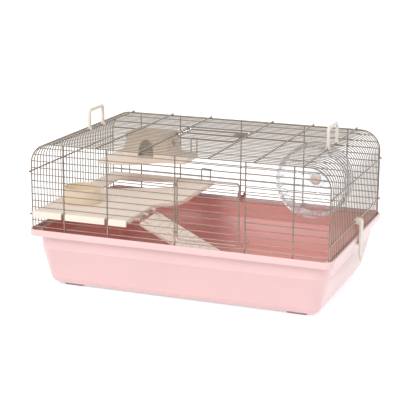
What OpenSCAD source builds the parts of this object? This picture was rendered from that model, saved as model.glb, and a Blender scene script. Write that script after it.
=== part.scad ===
// Hamster cage: a spot-welded wire top with two doors, standing in a moulded tray,
// furnished with a platform, ramp, shelf, house, bowl and running wheel.
// Millimetres, +Z up. The origin is on the ground under the middle of the tray,
// +X runs along the cage and the front is at -Y.

/* [Tray] */
// Length of the tray over its rim
tray_length = 580; // [560:1:620]
// Width of the tray over its rim
tray_width = 375; // [365:1:400]
// Height of the rim's top above the ground
tray_height = 113; // [105:1:130]
// Outer corner radius of the rim
rim_radius = 17; // [15:1:17]
// Height of the skirt that hangs from the rim
skirt_height = 12; // [10:1:16]
// Thickness of the tray's walls and floor
tray_wall = 2.5; // [2:0.1:3.5]
// Depth of the upright collar below the rim's top
collar_depth = 38; // [30:1:45]
// Lean of the lower walls from upright, in degrees
wall_lean = 20; // [16:1:23]
// Depth of the ledge that carries the wire top, below the rim's top
ledge_depth = 6; // [5:0.5:8]
// Height of the feet
foot_height = 3; // [2:0.5:6]
// Length of each foot
foot_length = 38; // [30:1:46]
// Distance of the feet from the middle, along the tray
foot_place = 218; // [200:1:224]

/* [Wire top] */
// Height of the roof above the rim's top
cage_rise = 162; // [160:1:180]
// Radius of the bend between each end and the roof
end_bend = 40; // [32:1:44]
// Diameter of the thin grille wires
thin_wire = 1.8; // [1.6:0.1:2]
// Diameter of the thick frame wires
thick_wire = 2.6; // [2.4:0.1:3]
// Number of gaps between arch wires across the width
arch_gaps = 30; // [30:2:32]
// Height of the lowest rail above the rim's top
rail_start = 3.5; // [3:0.1:4.5]
// Height step between rails
rail_step = 12.4; // [12:0.1:12.8]
// Distance of the inner uprights from the middle
inner_upright = 131; // [124:1:138]
// Distance of the outer uprights from the middle
outer_upright = 218; // [210:1:226]
// Distance of the inner roof crossbars from the middle
inner_crossbar = 65; // [60:1:70]
// Distance of the next roof crossbars from the middle
middle_crossbar = 148.5; // [140:0.5:156]
// Distance of the outer roof crossbars, which carry the handles
outer_crossbar = 235; // [226:1:240]
// Height of the lower end crossbars above the rim's top
clip_bar_rise = 28; // [26:1:32]
// Height of the upper end crossbars above the rim's top
upper_bar_rise = 108; // [100:1:112]

/* [Doors] */
// Width of the gap between the front door and the upright it closes on
latch_gap = 10; // [8:1:14]
// Diameter of the wire that frames each door
door_wire = 2.4; // [2.2:0.1:2.6]
// Corner radius of the door frames
door_bend = 6; // [4:0.5:9]
// Distance of the roof door's free edge from the crossbar it closes towards
roof_door_gap = 12; // [10:1:16]

/* [Handles and clips] */
// Height of a carrying handle above its crossbar
handle_rise = 40; // [34:1:46]
// Width of a handle's bars
handle_bar = 6; // [5:0.5:7]
// Thickness of a handle
handle_thickness = 5; // [4:0.5:6]
// Width of a side clip
clip_width = 16; // [14:1:20]
// Length of a side clip's tail below the rim's top
clip_tail = 44; // [36:1:50]

/* [Platform and ramp] */
// Width of the front half of the platform
platform_length = 188; // [180:1:196]
// How much wider the platform's rear half is
platform_step = 38; // [30:1:44]
// Thickness of the moulded plates
plate = 3; // [2.5:0.1:3.5]
// Height of the edge that is turned down round a plate
plate_edge = 9; // [8:0.5:11]
// Width of the ramp
ramp_width = 83; // [70:1:84]
// Slope of the ramp in degrees
ramp_slope = 26; // [24:0.5:28]

/* [Shelf and house] */
// Length of the upper shelf along the back
shelf_length = 162; // [150:1:164]
// Depth of the shelf at its narrow end
shelf_depth = 75; // [70:1:85]
// Extra depth of the shelf at its wide end
shelf_step = 55; // [45:1:60]
// Length of the house at its base
house_length = 108; // [96:1:112]
// Depth of the house at its base
house_depth = 70; // [62:1:73]
// Height of the house without its roof
house_height = 42; // [36:1:46]

/* [Bowl] */
// Outer diameter of the bowl at its foot
bowl_diameter = 75; // [64:1:80]
// Height of the bowl
bowl_height = 29; // [24:1:34]

/* [Wheel] */
// Outer diameter of the running wheel
wheel_diameter = 145; // [130:1:146]
// Width of the running wheel
wheel_width = 46; // [40:1:48]
// Distance of the wheel's axle from the middle of the cage
wheel_place = 164; // [160:1:168]
// Number of treads round the wheel
tread_count = 24; // [18:1:30]

/* [Fits] */
// Radial play of every eye that turns on a wire or pin
pivot_play = 0.06; // [0.02:0.01:0.1]
// Gap between loose pieces that rest on each other
rest_gap = 0.1; // [0.05:0.05:0.3]
// How far welded wires sink into each other
weld = 0.1; // [0.1:0.05:0.2]

/* [Hidden] */
$fn = 32;

// Colours
tray_pink = [0.97, 0.78, 0.80];
catch_pink = [0.80, 0.42, 0.48];
wire_colour = [0.52, 0.48, 0.44];
cream = [0.92, 0.87, 0.79];
platform_cream = [0.90, 0.84, 0.76];
bowl_cream = [0.88, 0.82, 0.70];
house_brown = [0.70, 0.56, 0.40];
clear_plastic = [0.86, 0.90, 0.94, 0.45];

// Tray: distances called inset are measured inwards from the rim's outer edge
body_radius = 51;
skirt_wall = 2.4;
lip_inset = 3.2;
lip_round = 1.2;
ledge_inset = 13.5;
collar_draft = 1;
outer_fillet = 10;
inner_fillet = 8;
ledge_z = tray_height - ledge_depth;
collar_z = tray_height - collar_depth;
floor_z = foot_height + tray_wall;
foot_depth = 12;

// Wire top
half_length = tray_length / 2 - 6;
half_width = tray_width / 2 - 8.5;
roof_z = tray_height + cage_rise;
bend_x = half_length - end_bend;
bend_z = roof_z - end_bend;
thin_r = thin_wire / 2;
thick_r = thick_wire / 2;
leg_z = ledge_z + rest_gap;
thin_x = half_length - thin_r;
thick_x = half_length - thick_r;
thin_roof_z = roof_z - thin_r;
thick_roof_z = roof_z - thick_r;
upright_y = half_width - thick_r;
rail_y = upright_y - thick_r - thin_r + weld;
rail_inner_y = rail_y - thin_r;
arch_pitch = 2 * upright_y / arch_gaps;
arch_side = arch_gaps / 2 - 1;
crossbar_z = roof_z + thick_r - weld;
end_bar_x = half_length + thick_r - weld;
clip_bar_z = tray_height + clip_bar_rise;
upper_bar_z = tray_height + upper_bar_rise;
base_x_z = leg_z + thick_r;
base_y_z = base_x_z + thick_wire - weld;
base_bar_x = thin_x - thin_r - thick_r + weld;
base_bar_y = upright_y - thick_wire + weld;
knob_r = 1.9;
rail_count = 13;
uprights = [-outer_upright, -inner_upright, 0, inner_upright, outer_upright];
crossbars = [-outer_crossbar, -middle_crossbar, -inner_crossbar,
    inner_crossbar, middle_crossbar, outer_crossbar];

// Front door, which fills rails 1 to 9 between the middle and the right inner upright
door_r = door_wire / 2;
door_first = 1;
door_last = 9;
door_left = thick_r + 3;
door_right = inner_upright - latch_gap - door_r;
door_bottom = tray_height + rail_start + rail_step * (door_first - 0.5);
door_top = tray_height + rail_start + rail_step * (door_last + 0.5);
curl_r = 2.7;
curl_height = 5;
curl_rails = [1.5, 3.5, 8.5];

// Roof door, which fills arch wires -1 to 5 between the inner crossbars
roof_first = -1;
roof_last = 5;
roof_door_front = (roof_first - 0.5) * arch_pitch;
roof_door_back = (roof_last + 0.5) * arch_pitch;
roof_door_left = -inner_crossbar + 4.5;
roof_door_right = inner_crossbar - roof_door_gap;
roof_border_x = roof_door_right + door_r + thin_r + 2;
roof_frame_z = thin_roof_z - thin_r - door_r + weld;
roof_border_z = thin_roof_z - thin_wire + weld;
roof_curl_gaps = [-0.5, 4.5];

// Handles and clips
eye_bore = thick_r + pivot_play;
handle_eye_r = 4.2;
handle_round = 9;
grip_round = 4;
handle_eye_y = 2.5 * arch_pitch;
clip_eye_r = 5;
clip_eye_width = 5;
clip_eye_y = arch_pitch / 2;
clip_gap = 2.6;
clip_wall = 3.4;
clip_nose = 4.2;

// Platform and ramp
platform_bottom = rail_z(2) + 3.2;
platform_top = platform_bottom + plate;
platform_left = -half_length + 4;
platform_right = platform_left + platform_length;
platform_back = rail_inner_y - 2;
platform_front = -rail_inner_y + 0.8;
platform_bend_y = platform_front + 107.9;
platform_bend = 38;
hole_left = platform_left + 40;
hole_right = platform_right - 22;
hole_front_left = 18;
hole_front_right = 86;
hole_back_left = 112;
hole_back_right = 136;
hole_corner = 14;
hook_lip_y = -upright_y - thick_r - 1.5;
ramp_rod_r = 1.5;
ramp_rod_x = platform_right + 5;
ramp_rod_z = platform_top - plate_edge + 1;
ramp_front = platform_front + 30.4;
ramp_back = ramp_front + ramp_width;
ramp_drop = 4;
ramp_thick = 3;
ramp_length = (ramp_rod_z - floor_z - ramp_drop * cos(ramp_slope)) / sin(ramp_slope) - 7;
ramp_start = 6;
tread_step = 12;
hook_wire = 2.4;
hook_r = hook_wire / 2;
platform_hook = 21;
platform_hook_inset = 28;
shelf_hook = 15;
shelf_hook_inset = 9.5;
lip_rest = 10;
lug_width = 6;
lug_r = 3;

// Shelf and house
shelf_top = rail_z(7) - 2.2;
shelf_bottom = shelf_top - plate_edge;
shelf_right = -90;
shelf_back = platform_back;
shelf_bend_start = 20;
shelf_bend = 55;
house_wall = 2.5;
house_lean = 12;
house_x = shelf_right - 32 - house_length / 2;
house_y = shelf_back - 1 - house_depth / 2;
house_z = shelf_top + rest_gap;
roof_thick = 3;
roof_overhang = 2;
roof_corner = 6;
doorway_width = 34;
doorway_side = 16;
house_window_r = 8;
house_window_z = 25.2;

// Bowl
bowl_x = -228;
bowl_y = platform_front + 91.9;
bowl_z = platform_top + rest_gap;
bowl_wall = 3;
bowl_lip_r = 1.5;

// Wheel
wheel_r = wheel_diameter / 2;
wheel_wall = 2.4;
wheel_lip = 3;
wheel_lip_depth = 7;
tread_depth = 2;
tread_width = 2;
tread_reach = wheel_r - wheel_wall - rest_gap;
vent_r = 3;
vent_turn = 30;
vent_places = [28, 42, 56];
wheel_z = tray_height + 61;
wheel_back_y = rail_inner_y - 6.5;
wheel_front_y = wheel_back_y - wheel_width;
hub_r = 9;
hub_length = 16;
hub_flange_r = 18;
hub_flange = 2.6;
axle_r = 4;
cap_r = 11;
cap_height = 5;
cap_dome_r = 14.5;
bracket_length = 44;
bracket_height = 40;
bracket_plate = 3;
bracket_corner = 8;
bracket_rails = [4, 5];
jaw_place = 14;
jaw_length = 8;
jaw_height = 6;

function rail_z(k) = tray_height + rail_start + rail_step * k;
function bend_reach(z) = z <= bend_z ? thick_x : bend_x + sqrt(pow(thick_x - bend_x, 2) - pow(z - bend_z, 2));
function rail_interrupted(k) = k >= door_first && k <= door_last;
function roof_interrupted(k) = k >= roof_first && k <= roof_last;

// Straight wires along each axis
module wire_x(from, to, y, z, r) {
    translate([from, y, z]) rotate([0, 90, 0]) cylinder(r = r, h = to - from);
}

module wire_y(from, to, x, z, r) {
    translate([x, from, z]) rotate([-90, 0, 0]) cylinder(r = r, h = to - from);
}

module wire_z(from, to, x, y, r) {
    translate([x, y, from]) cylinder(r = r, h = to - from);
}

// A quarter bend in the XZ plane, from +X up to +Z
module quarter_bend(bend, r) {
    rotate([90, 0, 0]) rotate_extrude(angle = 90) translate([bend, 0]) circle(r = r);
}

// One end of an arch wire: its leg and its bend
module arch_end(y, r) {
    wire_z(leg_z, bend_z, half_length - r, y, r);
    translate([bend_x, y, bend_z]) quarter_bend(end_bend - r, r);
}

// A thick wire with a knob at each end, along Y
module knob_bar(x, z, reach) {
    wire_y(-reach, reach, x, z, thick_r);
    for (side = [-1, 1])
        translate([x, side * reach, z]) sphere(r = knob_r);
}

// A rounded rectangle about the origin
module rounded_rectangle(length, width, r) {
    square([length - 2 * r, width], center = true);
    square([length, width - 2 * r], center = true);
    for (x = [-1, 1], y = [-1, 1])
        translate([x * (length / 2 - r), y * (width / 2 - r)]) circle(r = r);
}

// Sweeps a profile round a rounded rectangle: the profile's x is measured out from the corner axis
module swept_ring(length, width, r) {
    for (x = [0, 1], y = [0, 1])
        mirror([x, 0, 0]) mirror([0, y, 0]) translate([length / 2 - r, width / 2 - r, 0])
            rotate_extrude(angle = 90) children();
    for (x = [0, 1])
        mirror([x, 0, 0]) translate([length / 2 - r, width / 2 - r, 0]) rotate([90, 0, 0])
            linear_extrude(height = width - 2 * r) children();
    for (y = [0, 1])
        mirror([0, y, 0]) translate([-length / 2 + r, width / 2 - r, 0]) rotate([90, 0, 90])
            linear_extrude(height = length - 2 * r) children();
}

// A wire bent into a rounded rectangle in the XY plane, about its own middle
module wire_loop(length, width, bend, r) {
    swept_ring(length, width, bend) translate([bend, 0]) circle(r = r);
}

// Half section of a tub: an upright collar, a leaning wall, a round heel and a flat bottom
module tub_section(top_inset, top_z, collar_inset, bottom_z, fillet) {
    collar_x = body_radius - collar_inset;
    heel_x = collar_x + ((bottom_z + fillet - collar_z) * sin(wall_lean) - fillet) / cos(wall_lean);
    heel_z = bottom_z + fillet;
    polygon([[0, bottom_z], [heel_x, bottom_z],
        [heel_x + fillet * cos(wall_lean), heel_z - fillet * sin(wall_lean)],
        [collar_x, collar_z], [body_radius - top_inset, top_z], [0, top_z]]);
    translate([heel_x, heel_z])
        intersection() {
            circle(r = fillet);
            translate([0, -fillet]) square([fillet, 2 * fillet]);
        }
}

module tub_wall_section() {
    difference() {
        tub_section(ledge_inset - tray_wall, ledge_z, ledge_inset - tray_wall + collar_draft,
            foot_height, outer_fillet);
        tub_section(ledge_inset, ledge_z + 1, ledge_inset + collar_draft, floor_z, inner_fillet);
    }
}

// Section of the rim: the skirt, the rounded lip and the outer strip of the ledge
module rim_section() {
    outer_x = rim_radius;
    polygon([[outer_x, tray_height - skirt_height], [outer_x, tray_height - lip_round],
        [outer_x - lip_round, tray_height - lip_round], [outer_x - lip_round, tray_height],
        [outer_x - lip_inset + 0.6, tray_height], [outer_x - lip_inset, tray_height - 0.6],
        [outer_x - lip_inset, ledge_z], [outer_x - ledge_inset + tray_wall, ledge_z],
        [outer_x - ledge_inset + tray_wall, ledge_z - tray_wall],
        [outer_x - skirt_wall, ledge_z - tray_wall], [outer_x - skirt_wall, tray_height - skirt_height]]);
    translate([outer_x - lip_round, tray_height - lip_round]) circle(r = lip_round);
}

module tray() {
    color(tray_pink) {
        swept_ring(tray_length, tray_width, body_radius) tub_wall_section();
        translate([-tray_length / 2 + body_radius, -tray_width / 2 + body_radius, foot_height])
            cube([tray_length - 2 * body_radius, tray_width - 2 * body_radius, tray_wall]);
        swept_ring(tray_length, tray_width, rim_radius) rim_section();
        translate([0, 0, ledge_z - tray_wall]) linear_extrude(height = tray_wall)
            difference() {
                rounded_rectangle(tray_length - 2 * lip_inset, tray_width - 2 * lip_inset,
                    rim_radius - lip_inset);
                rounded_rectangle(tray_length - 2 * ledge_inset, tray_width - 2 * ledge_inset,
                    body_radius - ledge_inset);
            }
    }
}

module tray_feet() {
    foot_y = tray_width / 2 - body_radius + 2;
    color(tray_pink)
        for (x = [-1, 1], y = [-1, 1])
            translate([x * foot_place, y * foot_y, 0]) linear_extrude(height = foot_height)
                rounded_rectangle(foot_length, foot_depth, foot_depth / 2 - 1);
}

module rear_rim_catch() {
    catch_length = 16;
    catch_height = 12;
    catch_depth = 5;
    notch_depth = 2;
    color(catch_pink)
        translate([-catch_length / 2, tray_width / 2 - catch_depth, tray_height])
            difference() {
                cube([catch_length, catch_depth, catch_height]);
                translate([catch_length / 4, -1, catch_height / 2])
                    cube([catch_length / 2, notch_depth + 1, catch_height]);
            }
}

module base_frame() {
    color(wire_colour)
        for (side = [-1, 1]) {
            wire_x(-thick_x, thick_x, side * base_bar_y, base_x_z, thick_r);
            wire_y(-base_bar_y - 1, base_bar_y + 1, side * base_bar_x, base_y_z, thick_r);
        }
}

module right_end_wires() {
    color(wire_colour)
        for (k = [-arch_side : arch_side]) arch_end(k * arch_pitch, thin_r);
}

module left_end_wires() {
    mirror([1, 0, 0]) right_end_wires();
}

module roof_wires() {
    color(wire_colour)
        for (k = [-arch_side : arch_side])
            if (roof_interrupted(k)) {
                wire_x(-bend_x, -inner_crossbar + thin_r, k * arch_pitch, thin_roof_z, thin_r);
                wire_x(roof_border_x - thin_r, bend_x, k * arch_pitch, thin_roof_z, thin_r);
            } else
                wire_x(-bend_x, bend_x, k * arch_pitch, thin_roof_z, thin_r);
}

module rear_corner_arch() {
    color(wire_colour) {
        arch_end(upright_y, thick_r);
        mirror([1, 0, 0]) arch_end(upright_y, thick_r);
        wire_x(-bend_x, bend_x, upright_y, thick_roof_z, thick_r);
    }
}

module front_corner_arch() {
    mirror([0, 1, 0]) rear_corner_arch();
}

module roof_crossbars() {
    color(wire_colour)
        for (x = crossbars) knob_bar(x, crossbar_z, half_width + 1);
}

module end_crossbars() {
    color(wire_colour)
        for (side = [-1, 1], z = [clip_bar_z, upper_bar_z]) knob_bar(side * end_bar_x, z, half_width + 1);
}

module rear_rails() {
    color(wire_colour)
        for (k = [0 : rail_count - 1])
            wire_x(-bend_reach(rail_z(k)), bend_reach(rail_z(k)), rail_y, rail_z(k), thin_r);
}

module front_rails() {
    color(wire_colour)
        for (k = [0 : rail_count - 1])
            if (rail_interrupted(k)) {
                wire_x(-bend_reach(rail_z(k)), thin_r, -rail_y, rail_z(k), thin_r);
                wire_x(inner_upright - thin_r, bend_reach(rail_z(k)), -rail_y, rail_z(k), thin_r);
            } else
                wire_x(-bend_reach(rail_z(k)), bend_reach(rail_z(k)), -rail_y, rail_z(k), thin_r);
}

module rear_uprights() {
    color(wire_colour)
        for (x = uprights) wire_z(leg_z, thick_roof_z - thick_r + weld, x, upright_y, thick_r);
}

module front_uprights() {
    mirror([0, 1, 0]) rear_uprights();
}

module roof_door_border() {
    color(wire_colour)
        wire_y(roof_door_front - arch_pitch / 2 - 1, roof_door_back + arch_pitch / 2 + 1,
            roof_border_x, roof_border_z, thin_r);
}

module front_door_frame() {
    color(wire_colour)
        translate([(door_left + door_right) / 2, -upright_y, (door_bottom + door_top) / 2]) rotate([90, 0, 0])
            wire_loop(door_right - door_left, door_top - door_bottom, door_bend, door_r);
}

module front_door_rails() {
    door_rail_y = upright_y - door_r - thin_r + weld;
    color(wire_colour)
        for (k = [door_first : door_last])
            wire_x(door_left - thin_r, door_right + thin_r, -door_rail_y, rail_z(k), thin_r);
}

module front_door_hinges() {
    color(wire_colour)
        for (k = curl_rails)
            translate([0, -upright_y, rail_z(k) - curl_height / 2])
                difference() {
                    union() {
                        cylinder(r = curl_r, h = curl_height);
                        translate([0, 0, curl_height / 2]) rotate([0, 90, 0])
                            cylinder(r = thin_r, h = door_left - door_r - rest_gap);
                    }
                    translate([0, 0, -1]) cylinder(r = eye_bore, h = curl_height + 2);
                }
}

module front_door_latch() {
    latch_z = rail_z(1.5);
    latch_y = -upright_y - thick_r - thin_r - 0.4;
    latch_reach = inner_upright + 4;
    latch_half = 3;
    color(wire_colour) {
        for (z = [latch_z - latch_half, latch_z + latch_half])
            wire_x(door_right, latch_reach, latch_y, z, thin_r);
        translate([latch_reach, latch_y, latch_z]) rotate([90, 90, 0]) rotate_extrude(angle = 180)
            translate([latch_half, 0]) circle(r = thin_r);
    }
}

module roof_door_frame() {
    color(wire_colour)
        translate([(roof_door_left + roof_door_right) / 2, (roof_door_front + roof_door_back) / 2,
            roof_frame_z])
            wire_loop(roof_door_right - roof_door_left, roof_door_back - roof_door_front, door_bend, door_r);
}

module roof_door_wires() {
    color(wire_colour)
        for (k = [roof_first : roof_last])
            wire_x(roof_door_left - thin_r, roof_door_right + thin_r, k * arch_pitch, thin_roof_z, thin_r);
}

module roof_door_hinges() {
    arm_x = roof_door_left + inner_crossbar;
    arm_z = roof_frame_z - crossbar_z;
    arm_length = norm([arm_x, arm_z]) - door_r - rest_gap;
    color(wire_colour)
        for (gap = roof_curl_gaps)
            translate([-inner_crossbar, gap * arch_pitch + curl_height / 2, crossbar_z]) rotate([90, 0, 0])
                difference() {
                    union() {
                        cylinder(r = curl_r, h = curl_height);
                        translate([0, 0, curl_height / 2])
                            rotate([0, 0, atan2(arm_z, arm_x)]) rotate([0, 90, 0])
                            cylinder(r = thin_r, h = arm_length);
                    }
                    translate([0, 0, -1]) cylinder(r = eye_bore, h = curl_height + 2);
                }
}

module roof_door_latch() {
    latch_y = 2 * arch_pitch;
    latch_z = roof_z + thin_r + rest_gap;
    color(wire_colour)
        translate([roof_door_right - 4, latch_y, latch_z])
            wire_loop(22, arch_pitch, 4, thin_r);
}

// A folding carrying handle about its crossbar, at the origin
module handle_body() {
    reach = handle_eye_y + handle_bar / 2;
    inner = handle_eye_y - handle_bar / 2;
    shoulder_z = handle_rise - handle_round;
    grip_z = handle_rise - handle_bar - grip_round;
    difference() {
        union() {
            rotate([90, 0, 90]) translate([0, 0, -handle_thickness / 2])
                linear_extrude(height = handle_thickness)
                difference() {
                    union() {
                        translate([-reach, 0]) square([2 * reach, shoulder_z]);
                        translate([-reach + handle_round, 0])
                            square([2 * (reach - handle_round), handle_rise]);
                        for (side = [-1, 1])
                            translate([side * (reach - handle_round), shoulder_z]) circle(r = handle_round);
                    }
                    translate([-inner, -1]) square([2 * inner, grip_z + 1]);
                    translate([-inner + grip_round, -1])
                        square([2 * (inner - grip_round), handle_rise - handle_bar + 1]);
                    for (side = [-1, 1])
                        translate([side * (inner - grip_round), grip_z]) circle(r = grip_round);
                }
            for (side = [-1, 1])
                wire_y(side * handle_eye_y - handle_bar / 2, side * handle_eye_y + handle_bar / 2,
                    0, 0, handle_eye_r);
        }
        wire_y(-reach - 1, reach + 1, 0, 0, eye_bore);
    }
}

module left_handle() {
    color(cream) translate([-outer_crossbar, 0, crossbar_z]) handle_body();
}

module right_handle() {
    color(cream) translate([outer_crossbar, 0, crossbar_z]) handle_body();
}

// Section of a side clip outside the wires, with x from the crossbar outwards and z from the crossbar
module clip_section() {
    inner_x = tray_length / 2 + clip_gap - end_bar_x;
    outer_x = inner_x + clip_wall;
    nose_z = -clip_bar_rise - skirt_height - 0.6;
    tail_z = -clip_bar_rise - clip_tail;
    polygon([[2.4, 4], [outer_x - 3, 4], [outer_x, 0], [outer_x, tail_z + 12], [outer_x + 3, tail_z],
        [outer_x, tail_z], [inner_x, tail_z + 12], [inner_x, nose_z - 5], [inner_x - clip_nose, nose_z - 2],
        [inner_x - clip_nose, nose_z], [inner_x, nose_z], [inner_x, -6], [2.4, -4]]);
}

module clip_body() {
    translate([end_bar_x, 0, clip_bar_z])
        difference() {
            union() {
                translate([0, clip_width / 2, 0]) rotate([90, 0, 0]) linear_extrude(height = clip_width)
                    clip_section();
                for (side = [-1, 1])
                    wire_y(side * clip_eye_y - clip_eye_width / 2, side * clip_eye_y + clip_eye_width / 2,
                        0, 0, clip_eye_r);
            }
            wire_y(-clip_width, clip_width, 0, 0, eye_bore);
        }
}

module right_clip() {
    color(cream) clip_body();
}

module left_clip() {
    color(cream) mirror([1, 0, 0]) clip_body();
}

// Outline of a plate whose right edge steps out by step in an S of two arcs that starts at bend_y.
// The S is 2 * bend long, and inset draws the same outline smaller.
module s_outline(left, right, front, back, step, bend_y, bend, inset) {
    arc = (pow(step / 2, 2) + pow(bend, 2)) / step;
    hollow = [right + arc, bend_y];
    bulge = [right + step - arc, bend_y + 2 * bend];
    meet = (hollow + bulge) / 2 + inset / arc * (bulge - hollow) / 2;
    translate([left + inset, front + inset]) square([right - left - 2 * inset, back - front - 2 * inset]);
    translate([left + inset, bulge[1]]) square([right + step - left - 2 * inset, back - inset - bulge[1]]);
    intersection() {
        translate(bulge) circle(r = arc - inset, $fn = 96);
        translate([left + inset, front + inset]) square([right + step - left, back - front - 2 * inset]);
    }
    difference() {
        polygon([[right - inset - 1, bend_y], [right - inset, bend_y], meet, bulge,
            [right - inset - 1, bulge[1]]]);
        translate(hollow) circle(r = arc + inset, $fn = 96);
    }
}

module platform_outline(inset) {
    s_outline(platform_left, platform_right, platform_front, platform_back,
        platform_step, platform_bend_y, platform_bend, inset);
}

// The opening in the platform under the shelf, wider towards the left end
module platform_hole() {
    intersection() {
        translate([(hole_left + hole_right) / 2, (hole_front_left + hole_back_right) / 2 - 5])
            rounded_rectangle(hole_right - hole_left, hole_back_right - hole_front_left + 6, hole_corner);
        polygon([[hole_left, hole_front_left], [hole_right, hole_front_right],
            [hole_right, hole_back_right], [hole_left, hole_back_left]]);
    }
}

module lower_platform() {
    color(platform_cream) {
        difference() {
            union() {
                translate([0, 0, platform_bottom]) linear_extrude(height = plate) platform_outline(0);
                translate([0, 0, platform_top - plate_edge]) linear_extrude(height = plate_edge)
                    difference() {
                        platform_outline(0);
                        platform_outline(plate);
                    }
            }
            translate([0, 0, platform_bottom - 1]) linear_extrude(height = plate + 2) platform_hole();
        }
        // Hook lip over the front rails, parted where the uprights pass
        for (span = [[platform_left, -outer_upright - 4], [-outer_upright + 4, -inner_upright - 4],
                [-inner_upright + 4, platform_right]]) {
            translate([span[0], hook_lip_y - plate, platform_bottom])
                cube([span[1] - span[0], platform_front - hook_lip_y + plate + 1, plate]);
            translate([span[0], hook_lip_y - plate, platform_top - plate_edge - 3])
                cube([span[1] - span[0], plate, plate_edge + 3]);
            translate([(span[0] + span[1] - lip_rest) / 2, hook_lip_y - 1, rail_z(2) + thin_r + rest_gap])
                cube([lip_rest, platform_front - hook_lip_y + 1, platform_bottom - rail_z(2) - thin_r]);
        }
        // Lugs that carry the ramp's rod
        lug_reach = ramp_rod_x - platform_right + 1;
        for (y = [ramp_front + 2, (ramp_front + ramp_back - lug_width) / 2, ramp_back - lug_width - 2])
            translate([platform_right - 1, y, ramp_rod_z])
                difference() {
                    union() {
                        translate([0, 0, -lug_r]) cube([lug_reach, lug_width, 2 * lug_r]);
                        wire_y(0, lug_width, lug_reach, 0, lug_r);
                    }
                    wire_y(-1, lug_width + 1, lug_reach, 0, ramp_rod_r);
                }
    }
}

// A wire hook that stands on a plate and goes over a rear rail
module rail_hook(middle, width, foot_z, rail) {
    leg_x = width / 2 - hook_r;
    leg_y = rail_inner_y - hook_r - 0.6;
    outer_y = rail_y + thin_r + hook_r + 0.6;
    top_z = rail_z(rail) + thin_r + hook_r - weld;
    for (x = [middle - leg_x, middle + leg_x]) {
        wire_z(foot_z, top_z, x, leg_y, hook_r);
        wire_y(leg_y, outer_y, x, top_z, hook_r);
        for (y = [leg_y, outer_y]) translate([x, y, top_z]) sphere(r = hook_r + 0.2);
    }
    wire_x(middle - leg_x, middle + leg_x, outer_y, top_z, hook_r);
}

module platform_hooks() {
    color(wire_colour) {
        rail_hook(platform_right + platform_step / 2, platform_hook, platform_top, 4);
        rail_hook(platform_left + platform_hook_inset, platform_hook, platform_top, 4);
    }
}

module shelf_hooks() {
    color(wire_colour) {
        rail_hook(shelf_right - shelf_hook_inset, shelf_hook, shelf_top, 9);
        rail_hook(shelf_right - shelf_length + shelf_hook_inset, shelf_hook, shelf_top, 9);
    }
}

module ramp_rod() {
    color(wire_colour) wire_y(ramp_front, ramp_back, ramp_rod_x, ramp_rod_z, ramp_rod_r);
}

// Places a child that is drawn about the ramp's rod, with +X down the slope
module on_ramp() {
    translate([ramp_rod_x, 0, ramp_rod_z]) rotate([0, ramp_slope, 0]) children();
}

module ramp() {
    color(platform_cream)
        on_ramp() {
            translate([ramp_start, ramp_front, -ramp_drop]) cube([ramp_length, ramp_width, ramp_thick]);
            for (y = [ramp_front, ramp_back - ramp_thick])
                translate([ramp_start, y, -ramp_drop - 3]) cube([ramp_length - 12, ramp_thick, 4]);
            for (x = [ramp_start + tread_step : tread_step : ramp_start + ramp_length - tread_step / 2])
                translate([x, ramp_front + 5, -ramp_drop + ramp_thick - 1]) cube([2.5, ramp_width - 10, 2]);
        }
}

module ramp_hooks() {
    color(wire_colour)
        for (y = [ramp_front + 12, ramp_back - 14])
            on_ramp()
                translate([0, y, 0])
                    difference() {
                        union() {
                            wire_y(-hook_r - 0.5, hook_r + 0.5, 0, 0, ramp_rod_r + 2.4);
                            wire_x(0, ramp_start + 12, 0, ramp_thick - ramp_drop + hook_r + rest_gap, hook_r);
                        }
                        wire_y(-5, 5, 0, 0, ramp_rod_r + pivot_play);
                    }
}

module shelf_outline(inset) {
    mirror([1, 1, 0])
        s_outline(-shelf_back, -shelf_back + shelf_depth, -shelf_right, -shelf_right + shelf_length,
            shelf_step, -shelf_right + shelf_bend_start, shelf_bend, inset);
}

module upper_shelf() {
    color(platform_cream) {
        translate([0, 0, shelf_top - plate]) linear_extrude(height = plate) shelf_outline(0);
        translate([0, 0, shelf_bottom]) linear_extrude(height = plate_edge)
            difference() {
                shelf_outline(0);
                shelf_outline(plate);
            }
    }
}

// A four-sided block that narrows to its top, standing on the origin
module tapered_block(length, depth, height, lean) {
    intersection() {
        translate([0, depth / 2, 0]) rotate([90, 0, 0]) linear_extrude(height = depth)
            polygon([[-length / 2, 0], [length / 2, 0], [length / 2 - lean, height],
                [-length / 2 + lean, height]]);
        translate([-length / 2, 0, 0]) rotate([90, 0, 90]) linear_extrude(height = length)
            polygon([[-depth / 2, 0], [depth / 2, 0], [depth / 2 - lean / 2, height],
                [-depth / 2 + lean / 2, height]]);
    }
}

module house_walls() {
    color(house_brown)
        translate([house_x, house_y, house_z])
            difference() {
                tapered_block(house_length, house_depth, house_height, house_lean);
                translate([0, 0, -1])
                    tapered_block(house_length - 2 * house_wall, house_depth - 2 * house_wall,
                        house_height + 2, house_lean);
                translate([0, 0, -1]) rotate([90, 0, 0]) linear_extrude(height = house_depth) {
                    translate([-doorway_width / 2, 0]) square([doorway_width, doorway_side]);
                    translate([0, doorway_side]) circle(r = doorway_width / 2);
                }
                translate([0, 0, house_window_z]) rotate([0, 90, 0])
                    cylinder(r = house_window_r, h = house_length);
            }
}

module house_roof() {
    roof_length = house_length - 2 * house_lean + 2 * roof_overhang;
    roof_depth = house_depth - house_lean + 2 * roof_overhang;
    color(house_brown)
        translate([house_x, house_y, house_z + house_height])
            linear_extrude(height = roof_thick) rounded_rectangle(roof_length, roof_depth, roof_corner);
}

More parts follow.
